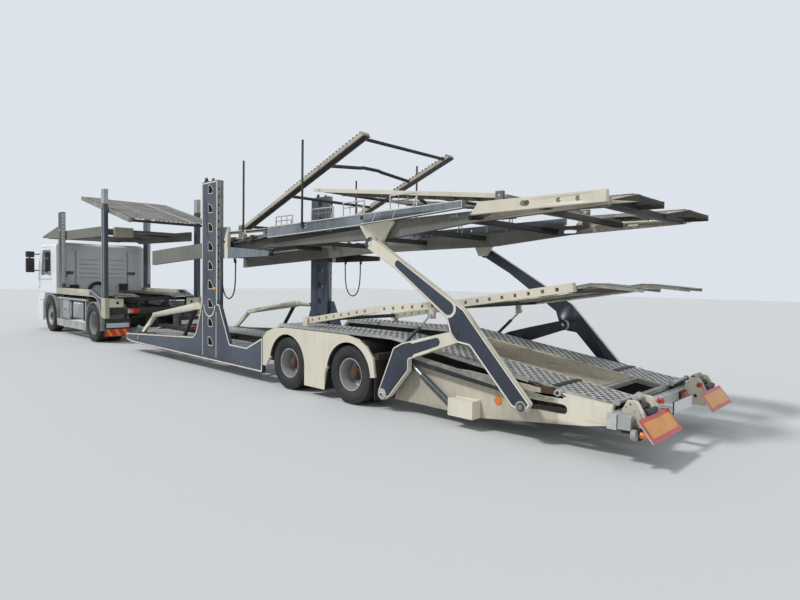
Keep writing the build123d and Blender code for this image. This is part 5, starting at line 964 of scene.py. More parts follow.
# %% Truck planks
CAB_REAR = float(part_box("cab_shell")[0][0])
TRUCK_FRONT = float(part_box("front_bumper")[1][0])
POST_FACE = left_face("truck_side_frames")
deck_line = np.array([(CAB_REAR - 0.08, 1.195), (DRIVE_AXLE_X - 0.52, 1.195), (DRIVE_AXLE_X - 0.9, 1.135)])
truck_deck = painted(plank(deck_line, TRACK_IN, TRACK_OUT, 0.045), GALVANISED_DARK)
truck_deck += blocks(0, BLACK, [(x - 0.04, x + 0.04, TRACK_IN + 0.02, TRACK_OUT - 0.02, 1.11, 1.15)
                                for x in (DRIVE_AXLE_X + 0.7, STEER_AXLE_X - 1.4, STEER_AXLE_X - 0.88)])
piece("truck_deck_planks", both(truck_deck), "truck", ["truck_lower_tracks"])

cab_line = np.array([(TRUCK_FRONT - 0.42, 2.835), (DRIVE_AXLE_X + 0.3, 2.835)])
cab_planks = painted(plank(cab_line, TRACK_IN, TRACK_OUT, 0.04), GALVANISED_DARK)
piece("cab_deck_planks", both(cab_planks), "cab_deck", ["cab_deck_tracks"])

# %% Tipping ramp
RAMP_FRONT, RAMP_REAR = 1.86, -1.33
POST_INNER = POST_FACE - 0.095
RAMP_IN, RAMP_OUT = POST_INNER - 0.080, POST_INNER - 0.010
ramp_pivot = np.array([DRIVE_AXLE_X - 0.62, 3.22])
ramp_line = ramp_pivot + np.array([(RAMP_FRONT, 0.04), (RAMP_REAR, 0.04)])
side_outline = ramp_pivot + np.array([(RAMP_REAR, -0.06), (RAMP_FRONT, -0.06), (RAMP_FRONT, 0.04),
                                      (RAMP_REAR, 0.04)])
ends = np.array([0, RAMP_FRONT - RAMP_REAR])
ramp = painted(plank(ramp_line, TRACK_IN, TRACK_OUT, 0.036), GALVANISED_DARK)
ramp += [(plate([side_outline], RAMP_IN, RAMP_OUT), GALVANISED_DARK),
         (sheet_strip(ramp_line, ends, TRACK_IN - 0.012, TRACK_IN + 0.012, 0.030), EDGE_LINE),
         (sheet_strip(ramp_line + np.array([0, 0.001]), ends, TRACK_OUT - 0.018, TRACK_OUT, 0.030),
          EDGE_LINE)]
ramp = both(ramp)
ramp += painted(plank(ramp_line - np.array([0, 0.01]), -TRACK_IN + 0.004, TRACK_IN - 0.004, 0.024, rows=15),
                GALVANISED_DARK)
ramp += blocks(ramp_pivot[0], BLACK, [(x - 0.03, x + 0.03, -RAMP_IN, RAMP_IN, ramp_pivot[1] - 0.05,
                                       ramp_pivot[1] + 0.004) for x in (1.8, 0.6, -0.5, -1.27)])
ramp = [(swung(s, -13.6, ramp_pivot), m) for s, m in ramp]
ramp += both([(rod(*ramp_pivot, 0.020, RAMP_OUT - 0.005, POST_INNER + 0.06), CHROME)])
piece("truck_ramp_planks", ramp, "truck_ramp", ["truck_ramp"])

# %% [markdown]
# ## Cream lines and inset panels
#
# The painter drew a cream line just inside the edge of every navy plate and closed the arms' long faces into
# panels with round ends. A line is modelled as a very thin ribbon: the outline drawn in once and then again,
# with the ring between the two raised by a fraction of a millimetre. Corners are swept round first, so the
# line turns as a brush does.

# %% Ribbons
RIBBON = 0.0012


def ribbon(outline, edge, width, y, closed=True):
    """A line of paint inside an outline of x and z, on an outward face; open ones follow a path."""
    outline = np.array(outline, dtype=float)
    if closed:
        outer, inner = inset(outline, edge), inset(outline, edge + width)
    else:
        ahead = np.gradient(outline, axis=0)
        normal = np.stack([-ahead[:, 1], ahead[:, 0]], axis=1) / np.linalg.norm(ahead, axis=1, keepdims=True)
        outer, inner = outline + normal * width / 2, outline - normal * width / 2
    count = len(outline)
    flat = np.concatenate([outer, inner, inner, outer])
    level = np.repeat([y + RIBBON, y + RIBBON, y - 0.001, y - 0.001], count)
    faces = [grid_faces(5, count, closed) % (4 * count)]
    if not closed:
        faces.append(np.array([[0, count, 2 * count, 3 * count],
                               [4 * count - 1, 3 * count - 1, 2 * count - 1, count - 1]]))
    return np.insert(flat, 1, level, axis=1), faces


def border(outline, sweep, edge, width, face):
    """A cream line inside an outline whose corners are swept round."""
    return ribbon(rounded(outline, sweep), edge, width, face), EDGE_LINE


def stroke(path, width, face):
    """A cream line along a path."""
    return ribbon(path, 0, width, face, closed=False), EDGE_LINE


# %% Coats and bosses
def capsule(start, stop, width_start, width_stop, steps=7):
    """A long shape with round ends between two points, as wide as given at each end."""
    start, stop = np.array(start), np.array(stop)
    way = (stop - start) / np.linalg.norm(stop - start)
    side = np.array([-way[1], way[0]])
    angle = np.linspace(-math.pi / 2, math.pi / 2, steps)[:, None]
    end = stop + width_stop / 2 * (np.cos(angle) * way + np.sin(angle) * side)
    begin = start - width_start / 2 * (np.cos(angle) * way + np.sin(angle) * side)
    return np.concatenate([end, begin])


def round_end(centre, radius, first, last, steps=9):
    """Points of an arc about a centre between two angles in degrees."""
    a = np.radians(np.linspace(first, last, steps))
    return list(zip(centre[0] + radius * np.cos(a), centre[1] + radius * np.sin(a)))


def sheet(outline, face, material, lift):
    """A coat of paint, or a sheet of painted shade, on part of a plate's outer face, as distance ahead of the
    rear axle and height.
    """
    return plate([on_trailer(outline)], face - 0.0005, face + lift), material


def turned(face, rows):
    """Turned parts on a face that looks outwards, from rows of centre, profile, sides and material."""
    return [(lathe(profile, (x, face, z), sides=sides), material)
            for (x, z), profile, sides, material in rows]


print("ribbon", RIBBON * 1000, "mm proud")

# %% [markdown]
# ## Lines on the trailer's frame
#
# Lines run along both edges of the wedge panel, up the posts, round each hole, and down in a U where the
# gusset meets the post. Two upright lines mark the post's foot behind the U.

# %% Side frames and posts
PLATE_FACE = left_face("trailer_side_frames")
POST_MIDDLE = REAR_AXLE_X + 3.64
POST_HOLES = 9
HOLE_STEP = 0.331
panel_outline = on_trailer([(7.36, 0.40), (7.36, 0.25), (7.08, 0.215), (2.01, 0.17), (2.00, 0.73),
                            (2.47, 0.53), (2.99, 0.54), (3.33, 1.19), (3.41, 1.19), (3.41, 3.31),
                            (3.95, 3.31), (3.95, 1.19), (4.18, 0.64), (4.30, 0.56)])
lines = [border(panel_outline, 0.03, 0.010, 0.022, PLATE_FACE)]
u_angle = np.linspace(0, math.pi, 13)
u_line = np.stack([3.68 + 0.19 * np.cos(u_angle), 1.16 - 0.20 * np.sin(u_angle)], axis=1)
lines.append(stroke(on_trailer(u_line), 0.020, PLATE_FACE))
lines += [stroke(on_trailer([(x, 1.05), (x, 0.26)]), 0.014, PLATE_FACE) for x in (3.44, 3.92)]
hole_shape = np.array([(0.5, -0.5), (0.5, 0.5), (-0.05, 0.3), (-0.5, -0.15), (-0.5, -0.5)]) * 0.15
for i in range(POST_HOLES):
    hole = hole_shape + np.array([POST_MIDDLE, 3.18 - i * HOLE_STEP])
    lines.append(border(hole, 0.024, -0.011, 0.010, PLATE_FACE))
lines += turned(PLATE_FACE, [(at, [(0, 0.030), (0.003, 0.030)], 20, AMBER)
                             for at in on_trailer([(6.75, 0.335), (3.52, 1.45)])])
piece("frame_lines", both(lines), "trailer")
print("lines on", len(lines), "places a side")

# %% [markdown]
# ## Lines on the lift arms, links and upper beams
#
# Each arm and link is a navy plate with a coat of cream, and a navy panel with round ends left open in it.
# Bosses close the pins. The upper beam's line tapers to the rear with the beam.

# %% Lift arms
ARM_FACE = left_face("lift_arms")
ARM_ROOM = HALF_WIDTH - ARM_FACE
COAT = 0.0014
PANEL = 0.0020
arm_outline = on_trailer([(-0.345, 2.05), (-0.85, 1.775), (-1.64, 1.235), (-1.70, 1.06), (-1.79, 0.975),
                          (-1.96, 0.955), (-2.50, 0.385), (-2.66, 0.35), (-2.72, 0.44), (-2.085, 1.12),
                          (-1.88, 1.345), (-0.50, 2.14)])
shoulder = round_end((-1.668, 1.345), 0.103, 300, 122)
arm_coat = [(-0.352, 2.043), (-0.85, 1.784), (-1.60, 1.268)] + shoulder + [(-0.51, 2.128), (-0.44, 2.150)]
foot, knee, top = on_trailer([(-2.61, 0.40), (-1.78, 1.05), (-0.39, 2.10)])
arm = [border(arm_outline, 0.03, 0.004, 0.018, ARM_FACE),
       sheet(arm_coat, ARM_FACE, CREAM, COAT),
       sheet(capsule((-0.88, 1.842), (-1.665, 1.345), 0.088, 0.152), ARM_FACE, NAVY_DEEP, PANEL),
       stroke(on_trailer(shoulder), 0.006, ARM_FACE + 0.0006)]
arm += turned(ARM_FACE, [
    (foot, [(-0.001, 0.062), (ARM_ROOM * 0.6, 0.062), (ARM_ROOM, 0.055)], 28, GREY_PLASTIC),
    (foot, [(0, 0.047), (ARM_ROOM + 0.004, 0.046)], 28, RAM_GREY),
    (foot, [(0, 0.028), (ARM_ROOM + 0.012, 0.027)], 6, GALVANISED_DARK),
    (knee, [(-0.001, 0.030), (ARM_ROOM, 0.028)], 28, IRON),
    (top, [(-0.001, 0.034), (ARM_ROOM, 0.030)], 28, GALVANISED)])
piece("arm_lines", both(arm), "lift_arms")


# %% Lift links and upper beams
def boss(centre, face, radius, bolt, material, proud):
    """A turned boss with a bevelled rim and a hexagonal bolt head in its middle."""
    disc = [(-0.001, radius), (proud * 0.7, radius), (proud, radius - 0.008), (proud, bolt)]
    head = [(proud - 0.001, bolt), (proud + 0.013, bolt), (proud + 0.016, bolt * 0.85)]
    return turned(face, [(centre, disc, 28, material), (centre, head, 6, IRON)])


LINK_FACE = left_face("lift_links")
link_outline = on_trailer([(-1.79, 1.12), (-1.25, 0.985), (-0.90, 0.89), (-0.76, 0.82), (-0.505, 0.25),
                           (-0.57, 0.15), (-0.70, 0.20), (-1.015, 0.56), (-1.02, 0.70), (-1.79, 0.98)])
link_coat = [(-1.785, 0.986), (-1.10, 0.738)] + round_end((-1.02, 0.815), 0.095, 250, 70)
link_coat += [(-1.25, 0.972), (-1.785, 1.108)]
link = [border(link_outline, 0.02, 0.004, 0.014, LINK_FACE),
        sheet(link_coat, LINK_FACE, CREAM, COAT),
        sheet(capsule((-1.45, 0.948), (-1.04, 0.818), 0.100, 0.132), LINK_FACE, NAVY_DEEP, PANEL)]
link += boss(on_trailer([(-0.58, 0.22)])[0], LINK_FACE, 0.070, 0.018, GREY_PLASTIC, 0.010)
piece("link_lines", both(link), "lift_links")

BEAM_FACE = LINK_FACE
beam_outline = on_trailer([(1.98, 2.27), (1.98, 2.44), (-1.78, 2.54), (-1.78, 2.45), (-0.70, 2.385),
                           (-0.13, 2.36), (-0.20, 2.352)])
beam = [border(beam_outline, 0.01, 0.002, 0.009, BEAM_FACE),
        stroke(on_trailer([(-0.36, 2.385), (-0.42, 2.49)]), 0.008, BEAM_FACE),
        stroke(on_trailer([(-0.72, 2.41), (-0.76, 2.50)]), 0.006, BEAM_FACE),
        # The black sheet below the beam is painted shade beneath the beam.
        sheet([(3.30, 2.10), (3.30, 2.25), (1.98, 2.328), (-0.10, 2.338), (-0.10, 2.315)], 1.1105, BLACK,
              0.001),
        (ribbon(circle(REAR_AXLE_X + 1.03, 2.40, 0.020, 12), -0.008, 0.007, BEAM_FACE), EDGE_LINE)]
piece("beam_lines", both(beam), "upper_deck")

# %% [markdown]
# ## Tyres with tread
#
# A truck tyre's tread has ribs between grooves that run round it, and its shoulders are cut into blocks. The
# surface is a grid of profile points by angle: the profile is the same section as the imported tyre's, lowered
# in four grooves, and a repeating mask lowers the shoulder between its blocks. Sidewalls stay blank, with two
# raised rings.

# %% Tyres
GROOVE = 0.013
NOTCH = 0.009
SHOULDER_BLOCKS = 44


def tyre_profile(radius, bead, width):
    """Half a tyre's section from bead to middle as (y, r), with two grooves, a shoulder and two rings."""
    wall = radius - bead
    t = np.linspace(0, 1, 7)
    side_y = 0.36 * width + (0.5 - 0.36) * width * np.sin(t * math.pi / 2) - 0.005
    over_y = 0.5 * width - 0.06 * width * (1 - np.cos(t[1:] * math.pi / 2)) - 0.005
    y = np.concatenate([side_y, over_y])
    r = np.concatenate([bead + 0.45 * wall * t, bead + 0.45 * wall + 0.39 * wall * t[1:]])
    y[[3, 9]] += 0.004
    tread = [(0.425, -0.05 * wall), (0.38, -0.002), (0.30, 0), (0.275, 0), (0.272, -GROOVE), (0.235, -GROOVE),
             (0.232, 0), (0.115, 0), (0.112, -GROOVE), (0.075, -GROOVE), (0.072, 0)]
    tread = np.array([(share * width, radius + drop) for share, drop in tread])
    return np.concatenate([np.stack([y, r], axis=1), tread])


def tyre(x, y, radius, bead, width):
    """A tyre as a grid: r(y, a) = profile(y), less a notch where |y| is on the shoulder between blocks."""
    half = tyre_profile(radius, bead, width)
    profile = np.concatenate([half, half[::-1] * np.array([-1, 1])])
    along, out = profile[:, :1], profile[:, 1:]
    angle = np.linspace(0, 2 * math.pi, SHOULDER_BLOCKS * 3, endpoint=False)
    between = (np.arange(len(angle)) % 3 == 0)[None, :]
    notch = between & (np.abs(along) > 0.29 * width) & (out > radius - 0.2 * (radius - bead))
    r = out - np.where(notch, NOTCH, 0.0)
    points = np.stack([x + r * np.sin(angle), np.repeat(along + y, len(angle), axis=1),
                       radius + r * np.cos(angle)], axis=-1)
    return points.reshape(-1, 3), [grid_faces(len(profile), len(angle))]


TRUCK_WHEEL = (TRUCK_TYRE_R, 0.286, 0.295)
TRAILER_WHEEL = (TRAILER_TYRE_R, 0.222, 0.245)
WHEELS = [("steer_tyre", "steer_rim", "steer_wheel", STEER_AXLE_X, TRUCK_WHEEL, 0),
          ("drive_tyres", "drive_rims", "drive_wheel", DRIVE_AXLE_X, TRUCK_WHEEL, 0.330),
          ("axle3_tyres", "axle3_rims", "axle3_wheel", FRONT_AXLE_X, TRAILER_WHEEL, 0.272),
          ("axle4_tyres", "axle4_rims", "axle4_wheel", REAR_AXLE_X, TRAILER_WHEEL, 0.272)]
for node, _, body, x, (radius, bead, width), twin_pitch in WHEELS:
    for side, sign in (("left", 1), ("right", -1)):
        low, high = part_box(f"{node}_{side}")
        outer, inner = max(abs(low[1]), abs(high[1])), min(abs(low[1]), abs(high[1]))
        places = [outer - width / 2, inner + width / 2] if twin_pitch else [outer - width / 2]
        surfaces = [(tyre(x, sign * y, radius, bead, width), TYRE) for y in places]
        piece(f"{node}_{side}_tread", surfaces, f"{body}_{side}", [f"{node}_{side}"], crisp=40)

# %% [markdown]
# ## Wheels, nuts and hubs
#
# The outer of two twin wheels is dished deep, with the hub standing out of the dish; the steered wheels'
# discs bulge outwards. Each gets ten hand holes, drawn as black discs of painted shade, a ring of ten
# nuts and a rust-brown hub with a capped end.

# %% Wheels
NUTS = 10


def wheel(x, z, y_out, y_in, y_disc, bead, hub_r, hub_tip, hub_back, nut_ring):
    """A left wheel about an axis along y: barrel and disc as one closed profile, hub, hand holes, nuts."""
    wall = bead - 0.0165
    barrel = [(y_out, bead - 0.002), (y_out + 0.003, bead - 0.008), (y_out, wall),
              (y_out - 0.03, wall - 0.006),
              (y_disc + 0.035, wall - 0.014), (y_disc + 0.016, wall - 0.030), (y_disc + 0.009, wall - 0.055),
              (y_disc + 0.009, hub_r * 0.9), (y_disc - 0.007, hub_r * 0.9), (y_disc - 0.007, wall - 0.055),
              (y_disc - 0.03, wall - 0.010), (y_in + 0.03, wall - 0.006), (y_in, wall), (y_in, bead - 0.002),
              (y_in + 0.012, bead - 0.010), (y_out - 0.012, bead - 0.010), (y_out, bead - 0.002)]
    hub = [(y_disc + 0.0085, hub_r + 0.030), (y_disc + 0.018, hub_r + 0.028), (y_disc + 0.020, hub_r + 0.002),
           (hub_tip - 0.05, hub_r - 0.004), (hub_tip - 0.045, hub_r * 0.80), (hub_tip - 0.012, hub_r * 0.72),
           (hub_tip - 0.001, hub_r * 0.55), (hub_tip, hub_r * 0.1)]
    back = [(hub_back, hub_r - 0.002), (y_disc - 0.006, hub_r - 0.002)]
    surfaces = [(lathe(barrel, (x, 0, z), sides=40, closed=False), RIM_SILVER),
                (lathe(hub, (x, 0, z)), RUSTY), (lathe(back, (x, 0, z)), IRON)]
    ring = (bead + hub_r) / 2 + 0.012
    # The hand holes are black discs through the disc: painted shade in place of the openings.
    hole = [(-0.008, 0.026), (0.0100, 0.026), (0.0105, 0.024)]
    nut = [(0.010, 0.015), (0.038, 0.015), (0.044, 0.009), (0.052, 0.008)]
    for i in range(NUTS):
        for a, reach, profile, sides, material in ((i + 0.5, ring, hole, 14, BLACK),
                                                   (i, nut_ring, nut, 6, GALVANISED)):
            a *= 2 * math.pi / NUTS
            at = (x + reach * math.sin(a), z + reach * math.cos(a))
            surfaces += turned(y_disc, [(at, profile, sides, material)])
    return surfaces


for node, rims, body, x, (radius, bead, width), twin_pitch in WHEELS:
    outer = left_face(f"{node}_left") - width / 2
    inner = outer - twin_pitch
    if twin_pitch:
        middle, hub_r = (outer + inner) / 2, 0.42 * bead
        made = wheel(x, radius, outer + 0.37 * width, inner - 0.37 * width, middle, bead, hub_r,
                     middle + 0.75 * width, inner - 0.30 * width, hub_r + 0.014)
    else:
        made = wheel(x, radius, outer + 0.37 * width, outer - 0.37 * width, outer + 0.060, bead, 0.110,
                     outer + 0.118, outer - 0.06, 0.128)
    for side, surfaces in (("left", made), ("right", twins(made))):
        piece(f"{rims}_{side}_wheel", surfaces, f"{body}_{side}", [f"{rims}_{side}"], crisp=34)

# %% [markdown]
# ## The tail
#
# At the very back, rollers between cream cheek plates ease a low car's nose onto the deck, coil springs hold
# them up, and a warning board leans behind each lane. Lamps sit on short arms. Every part is symmetrical but
# for the number plate's blank panel, which hangs left of the middle.

# %% Cheeks, rollers and springs
TAIL_X = REAR_AXLE_X - FALL_END
TAIL_END = float(cad_box[0][0])
BEAM_OUT = left_face("rear_side_beams")
ROLLERS = 3


def spring(x, z, y0, y1, radius=0.026, wire=0.005, turns=11):
    """A coil spring along y: (x + r cos a, y, z + r sin a), as a tube on a helix."""
    a = np.linspace(0, 2 * math.pi * turns, turns * 12)
    helix = np.stack([x + radius * np.cos(a), np.linspace(y0, y1, len(a)), z + radius * np.sin(a)], axis=1)
    return tube(helix, wire, 6)


def at_tail(outline, sweep):
    """An outline of distances behind the tail beam and heights, with its corners swept round."""
    return rounded([(TAIL_X - x, z) for x, z in outline], sweep)


cheek = at_tail([(0.33, 0.30), (0.09, 0.30), (0.09, 0.50), (0.14, 0.60), (0.23, 0.60), (0.30, 0.48)], 0.035)
slim_cheek = at_tail([(0.30, 0.34), (0.10, 0.34), (0.10, 0.50), (0.15, 0.585), (0.21, 0.585), (0.27, 0.47)],
                     0.03)
bolt_hole = circle(TAIL_X - 0.20, 0.40, 0.022, 16)
half = painted([plate([cheek, bolt_hole], y, y + 0.016) for y in (0.700, 0.744, 1.040)], CREAM)
half.append((plate([slim_cheek], 1.066, 1.080), CREAM_GRIMY))
half += blocks(TAIL_X, GALVANISED, [(-0.09, 0, 0.0, BEAM_OUT - 0.05, 0.33, 0.47)])
half += blocks(TAIL_X, BLACK, [(-0.345, -0.30, 0.70, 1.08, 0.33, 0.40),
                               (-0.30, -0.09, 0.735, 1.045, 0.31, 0.33)])
for i in range(ROLLERS):
    x, z = TAIL_X - 0.13 - 0.08 * i, 0.545 - 0.025 * i
    half += [(rod(x, z, 0.027, 0.775, 1.025, 18), BLACK_PLASTIC), (rod(x, z, 0.010, 0.690, 1.090), CHROME)]
half += [(spring(TAIL_X - 0.155, 0.592, 0.765, 1.035), GALVANISED),
         (rod(TAIL_X - 0.155, 0.592, 0.012, 0.765, 1.035), IRON),
         (spring(TAIL_X - 0.245, 0.470, 0.765, 1.035), GALVANISED)]
half += [(rod(TAIL_X - 0.02, 0.545, radius, y0, y1), material) for radius, y0, y1, material in (
    (0.020, 0.47, 0.99, GALVANISED), (0.030, 0.46, 0.49, GREY_PLASTIC), (0.030, 0.97, 1.00, GREY_PLASTIC))]
half += boss((TAIL_X - 0.175, 0.565), 1.056, 0.020, 0.011, GALVANISED, 0.008)

# %% Boards and lamps
BOARD_LEAN = 38
board = blocks(TAIL_END, GALVANISED, [(0.005, 0.018, 0.50, 1.24, 0.290, 0.520)])
board += blocks(TAIL_END, BOARD_RED, [(0.0025, 0.010, 0.502, 1.238, 0.292, 0.518)], 0.001)
board += blocks(TAIL_END, BOARD_YELLOW, [(0, 0.009, 0.545, 1.195, 0.330, 0.480)], 0.001)
half += [(swung(s, BOARD_LEAN, (TAIL_END, 0.290)), m) for s, m in board]
half.append((lathe([(0.52, 0.030), (0.56, 0.030), (0.575, 0.020)], (TAIL_END + 0.175, 0.60, 0), "z"), RED))
half += blocks(TAIL_X, BLACK, [(TAIL_END + 0.095 - TAIL_X, -0.33, 0.900, 0.960, 0.33, 0.40),
                               (TAIL_END + 0.10 - TAIL_X, -0.10, 1.085, 1.105, 0.30, 0.36)])
half += blocks(TAIL_X, GREY_PLASTIC, [(-0.22, -0.10, 1.105, 1.175, 0.345, 0.475)])
half += blocks(TAIL_X, BLACK, [(-0.30, -0.24, 1.095, 1.150, 0.27, 0.37)])
half += [(lathe(profile, (TAIL_X + x, y, z), "x", sides), material) for profile, x, y, z, sides, material in (
    ([(-0.045, 0.046), (-0.012, 0.050), (0, 0.046)], -0.235, 1.185, 0.320, 28, GREY_PLASTIC),
    ([(-0.048, 0.034), (-0.046, 0.034)], -0.235, 1.185, 0.320, 20, CLEAR_LENS),
    ([(-0.06, 0.022), (-0.03, 0.030), (0, 0.030)], -0.300, 1.150, 0.325, 28, AMBER))]
half += blocks(TAIL_X, BLACK_PLASTIC, [(-0.115, -0.09, 0.50, 0.69, 0.345, 0.455)])
half += blocks(TAIL_X, RED, [(-0.125, -0.113, 0.51, 0.60, 0.355, 0.445)])
half += blocks(TAIL_X, AMBER, [(-0.125, -0.113, 0.61, 0.68, 0.355, 0.445)])

# %% Plate, tow eye and the whole tail
tail = both(half)
tail += blocks(TAIL_END, BLACK_PLASTIC, [(0.100, 0.112, -0.065, 0.465, 0.395, 0.525)])
tail += blocks(TAIL_END, CLEAR_LENS, [(0.097, 0.103, -0.060, 0.460, 0.400, 0.520)], 0.001)
tail += blocks(TAIL_END, GALVANISED, [(0.112, TAIL_X - 0.09 - TAIL_END, 0.16, 0.24, 0.40, 0.44)])
turn = np.linspace(0, 2 * math.pi, 25)
tow_eye = np.stack([np.full(25, TAIL_X - 0.12), 0.05 + 0.045 * np.cos(turn), 0.305 + 0.045 * np.sin(turn)],
                   axis=1)
tail.append((tube(tow_eye, 0.010, 8), IRON))
piece("tail_fittings", tail, "trailer", ["trailer_tail"])

# %% [markdown]
# ## Fittings round the tail of the lower deck
#
# A square steel frame closes the end of the tread plate, dark bars cross each plank where the tail folds, and
# a rusty latch locks the deck's end on each side. Each side beam carries an amber lamp.

# %% Deck end, latches and side lamps
def behind_axle(rows):
    """Rows for blocks, with x given as distance behind the rear axle and z counted from the falling deck."""
    return [(-d1, -d0, y0, y1, deck_z(d1) + z0, deck_z(d0) + z1) for d0, d1, y0, y1, z0, z1 in rows]


SLOTS = 14
BEAM_SIDE_Y = BEAM_OUT - 0.093
end = blocks(REAR_AXLE_X, GALVANISED_DARK, behind_axle([(d, d + 0.06, -0.45, 0.45, -0.05, -0.012)
                                                        for d in (3.06, 3.38)]))
for y in (-0.45, 0.41):
    outline = on_trailer([(-d, deck_z(d) - drop)
                          for d, drop in ((3.06, 0.012), (3.44, 0.012), (3.44, 0.06), (3.06, 0.06))])
    end.append((plate([outline], y, y + 0.04), GALVANISED_DARK))
side = blocks(REAR_AXLE_X, BLACK,
              behind_axle([(2.79, 2.86, TRACK_IN + 0.004, TRACK_OUT - 0.004, -0.001, 0.004)]))
# The slots in each plank's inner flange are black blocks: painted shade in the openings.
for i in range(SLOTS):
    d = 1.7 + i * 0.09
    side += blocks(REAR_AXLE_X - d, BLACK, [(-0.022, 0.022, TRACK_IN - 0.012, TRACK_IN + 0.001,
                                             deck_z(d) - 0.040, deck_z(d) - 0.018)], 0.002)
# The black strip on the side beam is the gap between its chords: painted shade, with black mechanics in it.
side += [sheet([(-0.80, 0.735), (-2.52, 0.500), (-2.52, 0.464), (-0.80, 0.665)], BEAM_SIDE_Y, BLACK, 0.001),
         sheet([(-0.70, 0.800), (-2.90, 0.512), (-2.90, 0.490), (-2.52, 0.500), (-0.70, 0.749)], BEAM_SIDE_Y,
               GALVANISED_DARK, 0.001)]
fall_edge = on_trailer([(-d, deck_z(d) + 0.001) for d in (0.6, 3.40)])
side.append((sheet_strip(fall_edge, run_of(fall_edge), TRACK_IN - 0.006, TRACK_IN + 0.006, 0.02), EDGE_LINE))

# %% The latch
grip = on_trailer([(-2.56, 0.625), (-2.66, 0.618), (-2.90, 0.560), (-2.98, 0.530)])
side.append((tube(np.insert(grip, 1, TRACK_OUT + 0.052, axis=1), 0.013), RUSTY))
side += blocks(grip[1][0], RUSTY, [(-0.19, -0.05, TRACK_OUT + 0.016, TRACK_OUT + 0.070, 0.535, 0.600)])
side += blocks(grip[1][0], GALVANISED_DARK,
               [(-0.30, 0.02, TRACK_OUT + 0.012, TRACK_OUT + 0.062, 0.505, 0.535)])
side += [(rod(*grip[2], 0.034, TRACK_OUT + 0.012, TRACK_OUT + 0.082, 18), GALVANISED),
         (rod(*grip[2], 0.018, TRACK_OUT + 0.080, TRACK_OUT + 0.090, 12), IRON)]
side += turned(1.052, [((REAR_AXLE_X - 2.20, 0.372), [(0, 0.046), (0.008, 0.046), (0.011, 0.032)],
                        28, AMBER)])
side += blocks(REAR_AXLE_X, CREAM, [(-3.44, -3.20, 1.0525, 1.056, 0.335, 0.50)], 0.002)
end += both(side)
piece("deck_end_fittings", end, "trailer")

# %% [markdown]
# ## The cab's rear wall and the truck's flanks
#
# The cab's back is a pressed panel with level ribs, two black vents, and dark boxes at its foot. Along the
# flank are a fluted fuel tank and a toothed ladder up each front post. At the tail a cream corner box carries
# the lamps, with a blank plate and a striped marker board below it.

# %% The cab's back
cab_back = []
# The pressed ribs are grey: painted shade along the white wall's level ribs.
for z in 1.56 + 0.13 * np.arange(5):
    cab_back += blocks(CAB_REAR, GREY_PLASTIC,
                       [(-0.006, 0.01, y, y + 0.52, z, z + 0.018) for y in (0.10, -0.62)], 0.004)
cab_back += blocks(CAB_REAR, GREY_PLASTIC,
                   [(-0.008, 0.01, y - 0.02, y + 0.02, 1.30, 2.36) for y in (0.72, -0.72)], 0.006)
cab_back += blocks(CAB_REAR, WHITE, [(-0.010, 0.01, -1.08, 1.08, 2.36, 2.40)], 0.008)
for y in (0.90, -0.82):
    cab_back += blocks(CAB_REAR, BLACK_PLASTIC, [(-0.012, 0.01, y - 0.12, y + 0.12, 1.66, 1.75)])
    cab_back += blocks(CAB_REAR, GREY_PLASTIC, [(-0.016, -0.01, y - 0.11, y + 0.11, z, z + 0.007)
                                                for z in 1.675 + 0.02 * np.arange(4)], 0.001)
cab_back += blocks(CAB_REAR, BLACK_PLASTIC, [
    (-0.10, -0.004, y0, y1, 1.14, z)
    for y0, y1, z in ((0.66, 0.88, 1.36), (-0.70, -0.47, 1.40), (0.93, 1.10, 1.30))], 0.012)
arch = np.linspace(0.05, math.pi - 0.05, 13)
arch_path = np.stack([np.full(13, CAB_REAR - 0.055), 0.14 + 0.25 * np.cos(arch), 1.14 + 0.28 * np.sin(arch)],
                     axis=1)
hand_rail = [(CAB_REAR - 0.02, 1.02, 1.35), (CAB_REAR - 0.06, 1.00, 1.55), (CAB_REAR - 0.06, 0.92, 1.72)]
cab_back += [(tube(arch_path, 0.045), BLACK_PLASTIC), (tube(hand_rail, 0.012, 8), BLACK_PLASTIC)]
piece("cab_back_details", cab_back, "truck")

# %% Tank flutes, tool box, ladders and lines
FLUTES = 7
LADDER_TEETH = 19
flute = [(0.52, 0.040), (0.535, 0.050), (0.895, 0.050), (0.91, 0.040)]
flank = [(lathe(flute, (DRIVE_AXLE_X + 0.72 + 0.185 * i, 1.122, 0), "z", 14), ALLOY) for i in range(FLUTES)]
flank += blocks(DRIVE_AXLE_X, BLACK,
                [(x - 0.025, x + 0.025, 1.150, 1.180, 0.46, 0.965) for x in (0.84, 1.78)])
flank.append((lathe([(0.955, 0.052), (0.985, 0.052), (0.992, 0.040)], (DRIVE_AXLE_X + 1.35, 1.02, 0), "z"),
              BLACK_PLASTIC))
tool_box = [(DRIVE_AXLE_X + x, z) for x, z in ((2.04, 0.46), (2.76, 0.46), (2.76, 0.95), (2.04, 0.95))]
flank.append((ribbon(rounded(tool_box, 0.03), 0, 0.006, 1.160), BLACK))
flank += blocks(DRIVE_AXLE_X, BLACK_PLASTIC, [(2.36, 2.44, 1.160, 1.176, 0.68, 0.71)])
flank += blocks(STEER_AXLE_X, GALVANISED, [(-1.136, -1.098, 1.135, 1.200, z, z + 0.032)
                                           for z in 1.46 + 0.098 * np.arange(LADDER_TEETH)], 0.004)
flank += blocks(STEER_AXLE_X, CREAM_GRIMY, [(-1.109, -1.098, 1.128, 1.208, 1.40, 3.34)])
flank += blocks(DRIVE_AXLE_X, RED, [(-0.70, -0.62, POST_FACE - 0.002, POST_FACE + 0.014, 3.28, 3.36)])
flank += blocks(STEER_AXLE_X, AMBER, [(-1.00, -0.93, POST_FACE - 0.002, POST_FACE + 0.012, 2.84, 2.90)])
